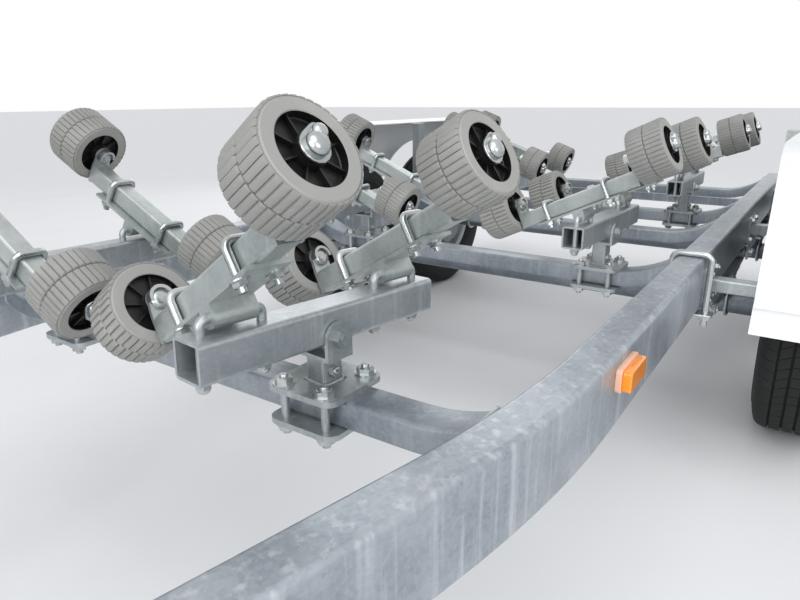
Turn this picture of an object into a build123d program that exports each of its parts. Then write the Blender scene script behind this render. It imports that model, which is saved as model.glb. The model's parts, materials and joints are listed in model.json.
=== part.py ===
from build123d import *

from math import acos, cos, degrees, radians, sin, tan

# Tandem boat trailer with six rocking roller cradles, parked on its jockey wheel.
# Millimetres, +X towards the coupling, +Y to the left side, +Z up, the ground at Z = 0.

# Overall
overall_length = 5800
frame_width = 1220
deck_height = 550
front_x = overall_length / 2
rear_x = -overall_length / 2
pin_clearance = 0.08

# Side beams, rectangular tube, bent inwards ahead of the cradles
beam_height = 120
beam_width = 60
beam_wall = 4
beam_radius = 9
beam_bend_x = -250
beam_bend_angle = 12
beam_bend_radius = 1770
beam_front_x = 2440
beam_rear_x = rear_x + 50
beam_y = (frame_width - beam_width) / 2
beam_bottom = deck_height - beam_height

# Cross-members, flat tube with both ends swept up to the beams
cross_width = 60
cross_height = 40
cross_wall = 3
cross_radius = 6
cross_bend_radius = 150
CrossMembers = [
    # x, drop of the top face below the deck
    (-30, 30),
    (-990, 65),
    (-1560, 65),
    (-1950, 65),
    (-2700, 65),
]

# Cradles: bar on a post, two rocking arms on the bar, two rollers on each arm
bar_size = 50
bar_wall = 4
bar_length = 400
bar_pivot_drop = 16
arm_offset = 140
arm_pivot_rise = 18
arm_length = 275
arm_size = 35
arm_wall = 3
roller_diameter = 120
roller_width = 75
roller_gap = 5
roller_ring_inner = 40
hub_radius = 22
hub_recess = 12
roller_rise = 75
Cradles = [
    # number, cross-member, y, bar height over the deck, yaw, pitch, front tilt, rear tilt
    (1, 0, 290, 60, 6, 2, 34, 30),
    (2, 1, 363, 40, 2, 0, 25, 23),
    (3, 3, 368, 40, 0, 0, 20, 20),
]

# Pivot ironwork
u_bolt_diameter = 12
u_bolt_reach = 42
saddle_tube_diameter = 26
saddle_plate = 5
saddle_plate_length = 200
saddle_plate_width = 60
bracket_thickness = 6
axle_pin_diameter = 16
post_size = 35
post_wall = 4
fork_plate = 6
fork_width = 44
pivot_pin_diameter = 16
clamp_plate = 8
clamp_length = 116
clamp_bolt_diameter = 12

# Wheels and axles
wheel_xs = (-1400, -2160)
wheel_y = 818
wheel_radius = 325
tyre_width = 185
rim_radius = 178
rim_width = 150
axle_diameter = 60
drum_radius = 115

# Leaf springs
spring_width = 60
leaf_thickness = 7
leaf_count = 4
spring_half = 330
eye_diameter = 36
eye_bore = 20
eye_height = 397
spring_sag = 7

# Fenders
fender_wall = 4
fender_inner_y = 712
fender_outer_y = 938
fender_top = 792
fender_bottom = 388
fender_front_x = -950
fender_rear_x = -2610
arch_radius = 372

# Front end
housing_length = 330
housing_width = 116
housing_height = 84
draw_tube_diameter = 50
head_length = 220
ball_diameter = 50
jockey_x = 2130
jockey_wheel_radius = 100
jockey_wheel_width = 50
winch_x = 1750
winch_top = 1120


def export(part, name):
    """Write one piece under its node name."""
    part.label = name
    export_step(part, "parts/" + name + ".step")


def beamCentre(x):
    """Distance of the beam's centre line from the trailer's centre line."""
    if x <= beam_bend_x:
        return beam_y
    arc_x = beam_bend_radius * sin(radians(beam_bend_angle))
    if x <= beam_bend_x + arc_x:
        run = x - beam_bend_x
        return beam_y - (beam_bend_radius - (beam_bend_radius**2 - run**2) ** 0.5)
    drop = beam_bend_radius * (1 - cos(radians(beam_bend_angle)))
    return beam_y - drop - (x - beam_bend_x - arc_x) * tan(radians(beam_bend_angle))


def beamEnvelope(side, hollow):
    """Side beam along its bent line; solid where it is only a cutting tool."""
    with BuildPart() as beam:
        with BuildLine() as path:
            straight = Line((beam_rear_x, side * beam_y, 0), (beam_bend_x, side * beam_y, 0))
            bend = TangentArc(
                straight @ 1,
                (
                    beam_bend_x + beam_bend_radius * sin(radians(beam_bend_angle)),
                    side * beamCentre(beam_bend_x + beam_bend_radius * sin(radians(beam_bend_angle))),
                    0,
                ),
                tangent=straight % 1,
            )
            Line(bend @ 1, (beam_front_x, side * beamCentre(beam_front_x), 0))
        with BuildSketch(Plane(origin=(beam_rear_x, side * beam_y, 0), x_dir=(0, 1, 0), z_dir=(1, 0, 0))):
            RectangleRounded(beam_width, beam_height, beam_radius)
            if hollow:
                RectangleRounded(
                    beam_width - 2 * beam_wall,
                    beam_height - 2 * beam_wall,
                    beam_radius - beam_wall,
                    mode=Mode.SUBTRACT,
                )
        sweep(path=path.wires()[0])
    return Pos(0, 0, deck_height - beam_height / 2) * beam.part


side_beam_left = beamEnvelope(1, True)
side_beam_right = beamEnvelope(-1, True)
export(side_beam_left, "side_beam_left")
export(side_beam_right, "side_beam_right")
beam_cutters = [beamEnvelope(1, False), beamEnvelope(-1, False)]

# Cross-members
cross_solids = []
for x, drop in CrossMembers:
    end_y = beamCentre(x)
    rise = drop - 3
    sweep_angle = degrees(acos(1 - rise / cross_bend_radius))
    run = cross_bend_radius * sin(radians(sweep_angle))
    knee_y = end_y - run - beam_width / 2 + 8
    middle_z = deck_height - drop - cross_height / 2
    lead = 40
    with BuildPart() as cross:
        with BuildLine(Plane.YZ) as path:
            middle = Line((-knee_y, middle_z), (knee_y, middle_z))
            left = JernArc(middle @ 1, middle % 1, cross_bend_radius, sweep_angle)
            Line(left @ 1, left @ 1 + (left % 1) * lead)
            right = JernArc(middle @ 0, (middle % 0) * -1, cross_bend_radius, -sweep_angle)
            Line(right @ 1, right @ 1 + (right % 1) * lead)
        track = path.wires()[0]
        with BuildSketch(Plane(origin=track @ 0, x_dir=(1, 0, 0), z_dir=track % 0)):
            RectangleRounded(cross_width, cross_height, cross_radius)
            RectangleRounded(
                cross_width - 2 * cross_wall,
                cross_height - 2 * cross_wall,
                cross_radius - cross_wall,
                mode=Mode.SUBTRACT,
            )
        sweep(path=track)
    solid = Pos(x, 0, 0) * cross.part
    for cutter in beam_cutters:
        solid = solid - cutter
    pieces = solid.solids()
    pieces.sort(key=lambda piece: piece.volume)
    cross_solids.append(pieces[-1])
export(Compound(children=cross_solids), "cross_members")


# Cradle pieces in their own frames: X along the bar or the arm
with BuildPart() as bar:
    with BuildSketch(Plane.YZ.offset(-bar_length / 2)):
        RectangleRounded(bar_size, bar_size, 6)
        RectangleRounded(bar_size - 2 * bar_wall, bar_size - 2 * bar_wall, 6 - bar_wall, mode=Mode.SUBTRACT)
    extrude(amount=bar_length)
    with BuildSketch(Plane.XZ.offset(-bar_size)) as pivot_bore:
        with Locations((0, -bar_pivot_drop)):
            Circle(pivot_pin_diameter / 2 + pin_clearance)
    extrude(amount=2 * bar_size, mode=Mode.SUBTRACT)
    crown_z = bar_size / 2 + arm_pivot_rise
    for end in (-1, 1):
        with BuildLine() as u_path:
            corner = 9
            leg = -bar_size / 2 - 14
            x0 = end * arm_offset - u_bolt_reach
            x1 = end * arm_offset + u_bolt_reach
            FilletPolyline((x0, 0, leg), (x0, 0, crown_z), (x1, 0, crown_z), (x1, 0, leg), radius=corner)
        with BuildSketch(Plane(origin=(x0, 0, leg), z_dir=(0, 0, 1))):
            Circle(u_bolt_diameter / 2)
        sweep(path=u_path.wires()[0])
        with BuildSketch(Plane.XY.offset(-bar_size / 2 - 10)):
            with Locations((x0, 0), (x1, 0)):
                RegularPolygon(10, 6)
        extrude(amount=10)

saddle_outer = saddle_tube_diameter / 2
arm_bottom = saddle_outer + saddle_plate
bracket_x = arm_length / 2
roller_x = bracket_x + bracket_thickness + roller_gap + roller_width / 2

with BuildPart() as arm:
    with BuildSketch(Plane.XZ) as saddle_profile:
        Circle(saddle_outer)
        with Locations((0, saddle_outer + saddle_plate / 2)):
            Rectangle(saddle_plate_length, saddle_plate)
        with Locations((0, saddle_outer / 2)):
            Rectangle(saddle_tube_diameter, saddle_outer)
        Circle(u_bolt_diameter / 2 + pin_clearance, mode=Mode.SUBTRACT)
    extrude(amount=saddle_plate_width / 2, both=True)
    with BuildSketch(Plane.YZ.offset(-arm_length / 2)):
        with Locations((0, arm_bottom + arm_size / 2)):
            RectangleRounded(arm_size, arm_size, 5)
            RectangleRounded(arm_size - 2 * arm_wall, arm_size - 2 * arm_wall, 2, mode=Mode.SUBTRACT)
    extrude(amount=arm_length)
    for end in (-1, 1):
        face_x = end * bracket_x
        with BuildSketch(Plane.YZ.offset(face_x)):
            with BuildLine():
                half = arm_size / 2
                Polyline(
                    (-half, arm_bottom),
                    (half, arm_bottom),
                    (half, arm_bottom + arm_size),
                    (14, roller_rise + 6),
                    (-14, roller_rise + 6),
                    (-half, arm_bottom + arm_size),
                    (-half, arm_bottom),
                )
            make_face()
            with Locations((0, roller_rise)):
                Circle(16)
        extrude(amount=end * bracket_thickness)
        with BuildSketch(Plane.YZ.offset(face_x)):
            with Locations((0, roller_rise)):
                Circle(axle_pin_diameter / 2)
        extrude(amount=end * (bracket_thickness + roller_gap + roller_width + 12))

with BuildPart() as roller:
    with BuildSketch(Plane.XZ):
        half_width = roller_width / 2
        roller_radius = roller_diameter / 2
        bore_radius = axle_pin_diameter / 2 + pin_clearance
        with BuildLine():
            Polyline(
                (-half_width, hub_radius),
                (-half_width + hub_recess, hub_radius),
                (-half_width + hub_recess, roller_ring_inner),
                (-half_width, roller_ring_inner),
                (-half_width, roller_radius - 3),
                (-half_width + 3, roller_radius),
                (half_width - 3, roller_radius),
                (half_width, roller_radius - 3),
                (half_width, roller_ring_inner),
                (half_width - hub_recess, roller_ring_inner),
                (half_width - hub_recess, hub_radius),
                (half_width, hub_radius),
                (half_width, bore_radius),
                (-half_width, bore_radius),
                (-half_width, hub_radius),
            )
        make_face()
    revolve(axis=Axis.X)

post_solids = []
for number, member, y, bar_over, yaw, pitch, front_tilt, rear_tilt in Cradles:
    cross_x, cross_drop = CrossMembers[member]
    for side, side_name in ((1, "left"), (-1, "right")):
        turn = radians(yaw)
        tip = radians(pitch)
        along = Vector(cos(tip) * cos(turn), -side * cos(tip) * sin(turn), sin(tip))
        upward = Vector(-sin(tip) * cos(turn), side * sin(tip) * sin(turn), cos(tip))
        across = upward.cross(along)
        bar_centre = Vector(cross_x, side * y, deck_height + bar_over)
        bar_plane = Plane(origin=bar_centre, x_dir=along, z_dir=upward)
        export(bar.part.moved(bar_plane.location), f"cradle_bar_{side_name}_{number}")

        for end, end_name, tilt in ((1, "front", front_tilt), (-1, "rear", rear_tilt)):
            lean = radians(tilt)
            arm_origin = bar_centre + along * (end * arm_offset) + upward * crown_z
            arm_x = across * (side * cos(lean)) + upward * sin(lean)
            arm_z = across * (-side * sin(lean)) + upward * cos(lean)
            arm_plane = Plane(origin=arm_origin, x_dir=arm_x, z_dir=arm_z)
            export(arm.part.moved(arm_plane.location), f"cradle_arm_{side_name}_{number}_{end_name}")
            roller_places = [Pos(roller_x, 0, roller_rise), Pos(-roller_x, 0, roller_rise)]
            pair = [roller.part.moved(arm_plane.location * place) for place in roller_places]
            export(Compound(children=[one.solid() for one in pair]), f"rollers_{side_name}_{number}_{end_name}")

        # Clamp round the cross-member, post and fork
        cross_top = deck_height - cross_drop
        pivot = bar_centre - upward * bar_pivot_drop
        fork_plane = Plane(origin=(pivot.X, pivot.Y, 0), x_dir=(cos(turn), -side * sin(turn), 0), z_dir=(0, 0, 1))
        fork_base = pivot.Z - 30
        with BuildPart() as post:
            with BuildSketch(Plane.XY.offset(cross_top)):
                with Locations((cross_x, side * y)):
                    RectangleRounded(clamp_length, clamp_length, 18)
            extrude(amount=clamp_plate)
            with BuildSketch(Plane.XY.offset(cross_top - cross_height - clamp_plate)):
                with Locations((cross_x, side * y)):
                    RectangleRounded(clamp_length, clamp_length, 18)
            extrude(amount=clamp_plate)
            with BuildSketch(Plane.XY.offset(cross_top - cross_height - clamp_plate - 16)):
                with Locations((cross_x, side * y)):
                    with GridLocations(2 * 43, 70, 2, 2):
                        Circle(clamp_bolt_diameter / 2)
            extrude(amount=cross_height + 2 * clamp_plate + 28)
            with BuildSketch(fork_plane.offset(cross_top + clamp_plate)):
                RectangleRounded(post_size, post_size, 5)
                RectangleRounded(post_size - 2 * post_wall, post_size - 2 * post_wall, 1.5, mode=Mode.SUBTRACT)
            extrude(amount=fork_base - cross_top - clamp_plate)
            fork_inside = bar_size / 2 + 1
            with BuildSketch(fork_plane.offset(fork_base)):
                Rectangle(fork_width, 2 * (fork_inside + fork_plate))
            extrude(amount=fork_plate)
            cheek_plane = Plane(origin=pivot, x_dir=fork_plane.x_dir, z_dir=Vector(0, 0, 1).cross(fork_plane.x_dir) * -1)
            for cheek in (-1, 1):
                with BuildSketch(cheek_plane.offset(cheek * fork_inside)):
                    Circle(fork_width / 2)
                    with Locations((0, -15)):
                        Rectangle(fork_width, 30)
                extrude(amount=cheek * fork_plate)
            with BuildSketch(cheek_plane.offset(-fork_inside - fork_plate - 12)):
                Circle(pivot_pin_diameter / 2)
            extrude(amount=2 * (fork_inside + fork_plate + 12))
            with BuildSketch(cheek_plane.offset(fork_inside + fork_plate)):
                RegularPolygon(13, 6)
            extrude(amount=9)
            with BuildSketch(cheek_plane.offset(-fork_inside - fork_plate)):
                RegularPolygon(13, 6)
            extrude(amount=-9)
        post_solids.extend(post.part.solids())
export(Compound(children=post_solids), "cradle_posts")

# Axles with brake back plates
axle_z = wheel_radius
disc_y = wheel_y + 30
axle_solids = []
for x in wheel_xs:
    with BuildPart() as axle:
        with BuildSketch(Plane.XZ.offset(-(wheel_y - 70))):
            with Locations((x, axle_z)):
                Circle(axle_diameter / 2)
                Circle(axle_diameter / 2 - 6, mode=Mode.SUBTRACT)
        extrude(amount=2 * (wheel_y - 70))
        for side in (-1, 1):
            end_plane = Plane(origin=(x, side * (wheel_y - 70), axle_z), x_dir=(1, 0, 0), z_dir=(0, side, 0))
            with BuildSketch(end_plane.offset(-6)):
                Circle(drum_radius + 5)
            extrude(amount=6)
            with BuildSketch(end_plane):
                Circle(17)
            extrude(amount=disc_y - wheel_y + 70 + 24)
    axle_solids.append(axle.part.solid())
export(Compound(children=axle_solids), "axles")

# Wheels: tyre on a steel rim with the brake drum behind its disc
rim_seat = rim_radius
flange = 10
for x, axle_name in zip(wheel_xs, ("front", "rear")):
    for side, side_name in ((1, "left"), (-1, "right")):
        centre = Plane(origin=(x, side * wheel_y, axle_z), x_dir=(1, 0, 0), z_dir=(0, side, 0))
        drum_back = -70 + 4
        disc_out = disc_y - wheel_y
        with BuildPart() as rim:
            with BuildSketch(Plane.XZ) as rim_profile:
                with BuildLine():
                    Polyline(
                        (rim_seat + flange, -rim_width / 2),
                        (rim_seat + flange, -rim_width / 2 + 5),
                        (rim_seat, -rim_width / 2 + 9),
                        (rim_seat, -25),
                        (rim_seat - 18, -12),
                        (rim_seat - 18, 25),
                        (rim_seat, 40),
                        (rim_seat, rim_width / 2 - 9),
                        (rim_seat + flange, rim_width / 2 - 5),
                        (rim_seat + flange, rim_width / 2),
                        (rim_seat + 4, rim_width / 2),
                        (rim_seat - 6, rim_width / 2 - 8),
                        (rim_seat - 6, 44),
                        (rim_seat - 24, 28),
                        (rim_seat - 34, disc_out + 14),
                        (rim_seat - 50, disc_out + 14),
                        (drum_radius - 20, disc_out + 6),
                        (60, disc_out + 6),
                        (60, disc_out + 22),
                        (34, disc_out + 24),
                        (34, disc_out + 44),
                        (0, disc_out + 44),
                        (0, disc_out + 26),
                        (17 + pin_clearance, disc_out + 26),
                        (17 + pin_clearance, -40),
                        (34, -40),
                        (34, disc_out - 8),
                        (drum_radius - 8, disc_out - 8),
                        (drum_radius - 8, drum_back),
                        (drum_radius, drum_back),
                        (drum_radius, disc_out),
                        (rim_seat - 44, disc_out + 8),
                        (rim_seat - 26, disc_out - 8),
                        (rim_seat - 24, -16),
                        (rim_seat - 6, -30),
                        (rim_seat - 6, -rim_width / 2 + 9),
                        (rim_seat + 4, -rim_width / 2),
                        (rim_seat + flange, -rim_width / 2),
                    )
                make_face()
            revolve(axis=Axis.Z)
        export(rim.part.moved(centre.location), f"wheel_rim_{side_name}_{axle_name}")
        half_tyre = tyre_width / 2
        with BuildPart() as tyre:
            with BuildSketch(Plane.XZ):
                with BuildLine():
                    Polyline((rim_seat, -40), (rim_seat, rim_width / 2 - 14))
                    Line((rim_seat, rim_width / 2 - 14), (rim_seat + flange + 8, rim_width / 2 - 2))
                    Spline(
                        (rim_seat + flange + 8, rim_width / 2 - 2),
                        (250, half_tyre),
                        (wheel_radius - 22, half_tyre - 8),
                        (wheel_radius - 4, half_tyre - 32),
                    )
                    Line((wheel_radius - 4, half_tyre - 32), (wheel_radius, half_tyre - 50))
                    Line((wheel_radius, half_tyre - 50), (wheel_radius, 50 - half_tyre))
                    Line((wheel_radius, 50 - half_tyre), (wheel_radius - 4, 32 - half_tyre))
                    Spline(
                        (wheel_radius - 4, 32 - half_tyre),
                        (wheel_radius - 22, 8 - half_tyre),
                        (250, -half_tyre),
                        (rim_seat + flange + 8, 2 - rim_width / 2),
                    )
                    Line((rim_seat + flange + 8, 2 - rim_width / 2), (rim_seat, 14 - rim_width / 2))
                    Line((rim_seat, 14 - rim_width / 2), (rim_seat, -40))
                make_face()
            revolve(axis=Axis.Z)
        export(tyre.part.moved(centre.location), f"tyre_{side_name}_{axle_name}")

# Leaf springs with their eyes, seats and U-bolts on the axles
spring_solids = []
for x in wheel_xs:
    for side in (-1, 1):
        leaf_end_z = eye_height - eye_diameter / 2 + leaf_thickness
        with BuildPart() as spring:
            for leaf in range(leaf_count):
                reach = spring_half * (1 - 0.2 * leaf)
                top_end = leaf_end_z - leaf * leaf_thickness - spring_sag * (1 - (reach / spring_half) ** 2)
                top_mid = leaf_end_z - leaf * leaf_thickness - spring_sag
                with BuildSketch(Plane.XZ.offset(-side * beam_y - spring_width / 2)):
                    with BuildLine():
                        ThreePointArc((x - reach, top_end), (x, top_mid), (x + reach, top_end))
                        Line((x + reach, top_end), (x + reach, top_end - leaf_thickness))
                        ThreePointArc(
                            (x + reach, top_end - leaf_thickness),
                            (x, top_mid - leaf_thickness),
                            (x - reach, top_end - leaf_thickness),
                        )
                        Line((x - reach, top_end - leaf_thickness), (x - reach, top_end))
                    make_face()
                extrude(amount=spring_width)
            with BuildSketch(Plane.XZ.offset(-side * beam_y - spring_width / 2)):
                with Locations((x - spring_half, eye_height), (x + spring_half, eye_height)):
                    Circle(eye_diameter / 2)
            extrude(amount=spring_width)
            with BuildSketch(Plane.XZ.offset(-side * beam_y - spring_width / 2)):
                with Locations((x - spring_half, eye_height), (x + spring_half, eye_height)):
                    Circle(eye_bore / 2)
            extrude(amount=spring_width, mode=Mode.SUBTRACT)
            pack_bottom = leaf_end_z - spring_sag - leaf_count * leaf_thickness
            seat_bottom = axle_z + 10
            with BuildSketch(Plane.XY.offset(seat_bottom)):
                with Locations((x, side * beam_y)):
                    Rectangle(90, spring_width + 20)
            extrude(amount=pack_bottom - seat_bottom)
            with BuildSketch(Plane.XZ.offset(-side * beam_y - spring_width)):
                with Locations((x, axle_z)):
                    Circle(axle_diameter / 2 + 0.2)
            extrude(amount=2 * spring_width, mode=Mode.SUBTRACT)
        spring_solids.append(sorted(spring.part.solids(), key=lambda piece: piece.volume)[-1])
export(Compound(children=spring_solids), "leaf_springs")

# Hangers and rockers under the beams
eye_front = wheel_xs[0] + spring_half
eye_mid_front = wheel_xs[0] - spring_half
eye_mid_rear = wheel_xs[1] + spring_half
eye_rear = wheel_xs[1] - spring_half
rocker_x = (eye_mid_front + eye_mid_rear) / 2
hanger_solids = []
for side in (-1, 1):
    for x, width in ((eye_front, 70), (rocker_x, 70), (eye_rear, 70)):
        with BuildPart() as hanger:
            for cheek in (-1, 1):
                plate_y = side * beam_y + cheek * (spring_width / 2 + 1)
                with BuildSketch(Plane.XZ.offset(-plate_y)):
                    with BuildLine():
                        Polyline(
                            (x - width / 2, beam_bottom - 6),
                            (x + width / 2, beam_bottom - 6),
                            (x + 22, eye_height),
                            (x + 16, eye_height - 24),
                            (x - 16, eye_height - 24),
                            (x - 22, eye_height),
                            (x - width / 2, beam_bottom - 6),
                        )
                    make_face()
                extrude(amount=-cheek * 6)
            with BuildSketch(Plane.XY.offset(beam_bottom - 6)):
                with Locations((x, side * beam_y)):
                    Rectangle(width + 30, spring_width + 14)
            extrude(amount=6)
            with BuildSketch(Plane.XZ.offset(-side * beam_y + spring_width / 2 + 20)):
                with Locations((x, eye_height)):
                    Circle(eye_bore / 2 - 0.3)
            extrude(amount=-spring_width - 40)
        hanger_solids.append(hanger.part.solid())
export(Compound(children=hanger_solids), "spring_hangers")

# Fenders
for side, side_name in ((1, "left"), (-1, "right")):
    middle_x = (fender_front_x + fender_rear_x) / 2
    with BuildPart() as fender:
        plane = Plane.XZ.offset(-fender_outer_y if side > 0 else fender_inner_y)
        depth = fender_outer_y - fender_inner_y
        with BuildSketch(plane):
            with BuildLine():
                FilletPolyline(
                    (fender_front_x, fender_bottom),
                    (fender_front_x - 90, fender_top),
                    (fender_rear_x + 90, fender_top),
                    (fender_rear_x, fender_bottom),
                    radius=70,
                )
                Line((fender_rear_x, fender_bottom), (fender_front_x, fender_bottom))
            make_face()
        extrude(amount=depth)
        inner_plane = Plane.XZ.offset(-(fender_outer_y - fender_wall) if side > 0 else fender_inner_y - 1)
        with BuildSketch(inner_plane):
            with BuildLine():
                slant = fender_wall / cos(radians(12.5))
                FilletPolyline(
                    (fender_front_x - slant, fender_bottom - 1),
                    (fender_front_x - 90 - slant, fender_top - fender_wall),
                    (fender_rear_x + 90 + slant, fender_top - fender_wall),
                    (fender_rear_x + slant, fender_bottom - 1),
                    radius=66,
                )
                Line((fender_rear_x + slant, fender_bottom - 1), (fender_front_x - slant, fender_bottom - 1))
            make_face()
        extrude(amount=depth - fender_wall + 1, mode=Mode.SUBTRACT)
        with BuildSketch(Plane.XZ.offset(-fender_outer_y - 1 if side > 0 else fender_outer_y - 20)):
            with Locations((wheel_xs[0], axle_z), (wheel_xs[1], axle_z)):
                Circle(arch_radius)
            with Locations((middle_x, fender_bottom + 20)):
                Rectangle(wheel_xs[0] - wheel_xs[1], 160)
        extrude(amount=21, mode=Mode.SUBTRACT)
    export(fender.part, f"fender_{side_name}")

# Fender brackets on the beams
bracket_solids = []
for side in (-1, 1):
    outer_face = side * frame_width / 2
    reach = fender_outer_y - fender_wall - 2 - frame_width / 2
    skirt_z = beam_bottom + 45
    for x, facing in ((fender_front_x - 60, 1), (fender_rear_x + 60, -1)):
        with BuildPart() as bracket:
            with BuildSketch(Plane.XZ.offset(-outer_face)):
                with Locations((x, skirt_z)):
                    RectangleRounded(40, 30, 4)
                    RectangleRounded(34, 24, 1, mode=Mode.SUBTRACT)
            extrude(amount=-side * reach)
            with BuildSketch(Plane.XZ.offset(-outer_face)):
                with Locations((x, skirt_z)):
                    RectangleRounded(100, 90, 8)
            extrude(amount=-side * 6)
        bracket_solids.append(bracket.part.solid())
    with BuildPart() as bracket:
        stand_y = frame_width / 2 + 74
        with BuildSketch(Plane.XZ.offset(-outer_face)):
            with Locations((rocker_x, skirt_z)):
                RectangleRounded(100, 90, 8)
        extrude(amount=-side * 6)
        with BuildSketch(Plane.XZ.offset(-outer_face)):
            with Locations((rocker_x, skirt_z)):
                Rectangle(40, 30)
        extrude(amount=-side * 90)
        with BuildSketch(Plane.XY.offset(skirt_z - 15)):
            with Locations((rocker_x, side * stand_y)):
                Rectangle(40, 32)
        extrude(amount=fender_top - fender_wall - skirt_z + 15)
        with BuildSketch(Plane.XY.offset(fender_top - fender_wall - 5)):
            with Locations((rocker_x, side * (stand_y + 70))):
                Rectangle(50, 172)
        extrude(amount=5)
    bracket_solids.append(bracket.part.solid())
export(Compound(children=bracket_solids), "fender_brackets")

# Rear lamp bar under the beams, with lamp plates and marker posts
with BuildPart() as lamp_bar:
    with BuildSketch(Plane.XZ.offset(-880)):
        with Locations((beam_rear_x + 40, beam_bottom - 20)):
            RectangleRounded(40, 40, 4)
            RectangleRounded(34, 34, 2, mode=Mode.SUBTRACT)
    extrude(amount=1760)
    for side in (-1, 1):
        with BuildSketch(Plane.YZ.offset(beam_rear_x + 20)):
            with Locations((side * 770, beam_bottom + 20)):
                Rectangle(220, 120)
        extrude(amount=-20)
export(Compound(children=lamp_bar.part.solids()), "lamp_bar")

lamp_solids = []
for side in (-1, 1):
    with BuildPart() as tail_lamp:
        with BuildSketch(Plane.YZ.offset(beam_rear_x)):
            with Locations((side * 770, beam_bottom + 20)):
                RectangleRounded(230, 130, 12)
        extrude(amount=rear_x - beam_rear_x)
    lamp_solids.append(tail_lamp.part.solid())
    for marker_x in (-315, 1250):
        slope = 0 if marker_x < beam_bend_x else beam_bend_angle
        nx = sin(radians(slope))
        ny = cos(radians(slope))
        face_y = beamCentre(marker_x) + beam_width / 2 / ny
        marker_plane = Plane(
            origin=(marker_x, side * face_y, deck_height - 38), x_dir=(ny, -side * nx, 0), z_dir=(nx, side * ny, 0)
        )
        with BuildPart() as marker:
            with BuildSketch(marker_plane):
                RectangleRounded(106, 40, 6)
            extrude(amount=22)
        lamp_solids.append(marker.part.solid())
export(Compound(children=lamp_solids), "lamps")

# Coupling: housing under the beams, bellows, head, brake lever
housing_top = beam_bottom
housing_rear_x = beam_front_x - housing_length + 60
housing_front_x = housing_rear_x + housing_length
draw_z = housing_top - housing_height / 2
lever_x = housing_front_x - 28
lever_z = housing_top + 26
with BuildPart() as housing:
    with BuildSketch(Plane.YZ.offset(housing_rear_x)):
        with Locations((0, draw_z)):
            RectangleRounded(housing_width, housing_height, 10)
            RectangleRounded(housing_width - 16, housing_height - 16, 4, mode=Mode.SUBTRACT)
    extrude(amount=housing_length)
    with BuildSketch(Plane.YZ.offset(housing_front_x - 40)):
        with Locations((0, draw_z)):
            RectangleRounded(housing_width, housing_height, 10)
            Circle(draw_tube_diameter / 2, mode=Mode.SUBTRACT)
    extrude(amount=40)
    with BuildSketch(Plane.XY.offset(housing_top - 8)):
        with Locations((housing_rear_x + 110, 0)):
            RectangleRounded(220, 170, 10)
    extrude(amount=8)
    for cheek in (-1, 1):
        with BuildSketch(Plane.XZ.offset(-cheek * 16)):
            with Locations((lever_x, lever_z)):
                Circle(18)
            with Locations((lever_x, (lever_z + housing_top) / 2 - 4)):
                Rectangle(36, lever_z - housing_top + 8)
        extrude(amount=-cheek * 6)
    with BuildSketch(Plane.XZ.offset(-22)):
        with Locations((lever_x, lever_z)):
            Circle(6)
    extrude(amount=44)
export(housing.part, "overrun_housing")

gaiter_length = 100
head_rear_x = front_x - head_length
with BuildPart() as gaiter:
    with BuildSketch(Plane.XZ):
        with BuildLine():
            rib_count = 5
            pitch_x = gaiter_length / rib_count
            points = [(housing_front_x, draw_tube_diameter / 2 + 2)]
            for rib in range(rib_count):
                points.append((housing_front_x + pitch_x * rib, draw_tube_diameter / 2 + 8))
                points.append((housing_front_x + pitch_x * (rib + 0.5), draw_tube_diameter / 2 + 20))
            points.append((housing_front_x + gaiter_length, draw_tube_diameter / 2 + 8))
            points.append((housing_front_x + gaiter_length, draw_tube_diameter / 2 + 2))
            points.append(points[0])
            Polyline(*points)
        make_face()
    revolve(axis=Axis.X)
export(gaiter.part.moved(Pos(0, 0, draw_z)), "gaiter")

socket_x = front_x - 62
with BuildPart() as head:
    with BuildSketch(Plane.YZ.offset(housing_front_x - 40)):
        with Locations((0, draw_z)):
            Circle(draw_tube_diameter / 2)
    extrude(amount=head_rear_x - housing_front_x + 60)
    with BuildSketch(Plane.XZ.offset(-45)):
        with BuildLine():
            FilletPolyline(
                (head_rear_x, draw_z - 32),
                (head_rear_x, draw_z + 36),
                (front_x - 90, draw_z + 52),
                (front_x, draw_z + 30),
                (front_x, draw_z - 18),
                (front_x - 110, draw_z - 18),
                (head_rear_x + 40, draw_z - 32),
                radius=8,
            )
            Line((head_rear_x + 40, draw_z - 32), (head_rear_x, draw_z - 32))
        make_face()
    extrude(amount=90)
    with BuildSketch(Plane.XZ) as ball_profile:
        with BuildLine():
            ball_radius = ball_diameter / 2 + 0.1
            Line((socket_x, draw_z + ball_radius), (socket_x, draw_z - 40))
            Line((socket_x, draw_z - 40), (socket_x + ball_radius, draw_z - 40))
            Line((socket_x + ball_radius, draw_z - 40), (socket_x + ball_radius, draw_z))
            CenterArc((socket_x, draw_z), ball_radius, 0, 90)
        make_face()
    revolve(axis=Axis((socket_x, 0, 0), (0, 0, 1)), mode=Mode.SUBTRACT)
    with BuildSketch(Plane.XZ.offset(-14)):
        with BuildLine():
            Polyline(
                (front_x - 100, draw_z + 40),
                (front_x - 60, draw_z + 30),
                (front_x - 70, draw_z + 74),
                (head_rear_x - 10, draw_z + 96),
                (head_rear_x - 10, draw_z + 78),
                (front_x - 100, draw_z + 58),
                (front_x - 100, draw_z + 40),
            )
        make_face()
    extrude(amount=28)
export(head.part, "coupling_head")

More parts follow.
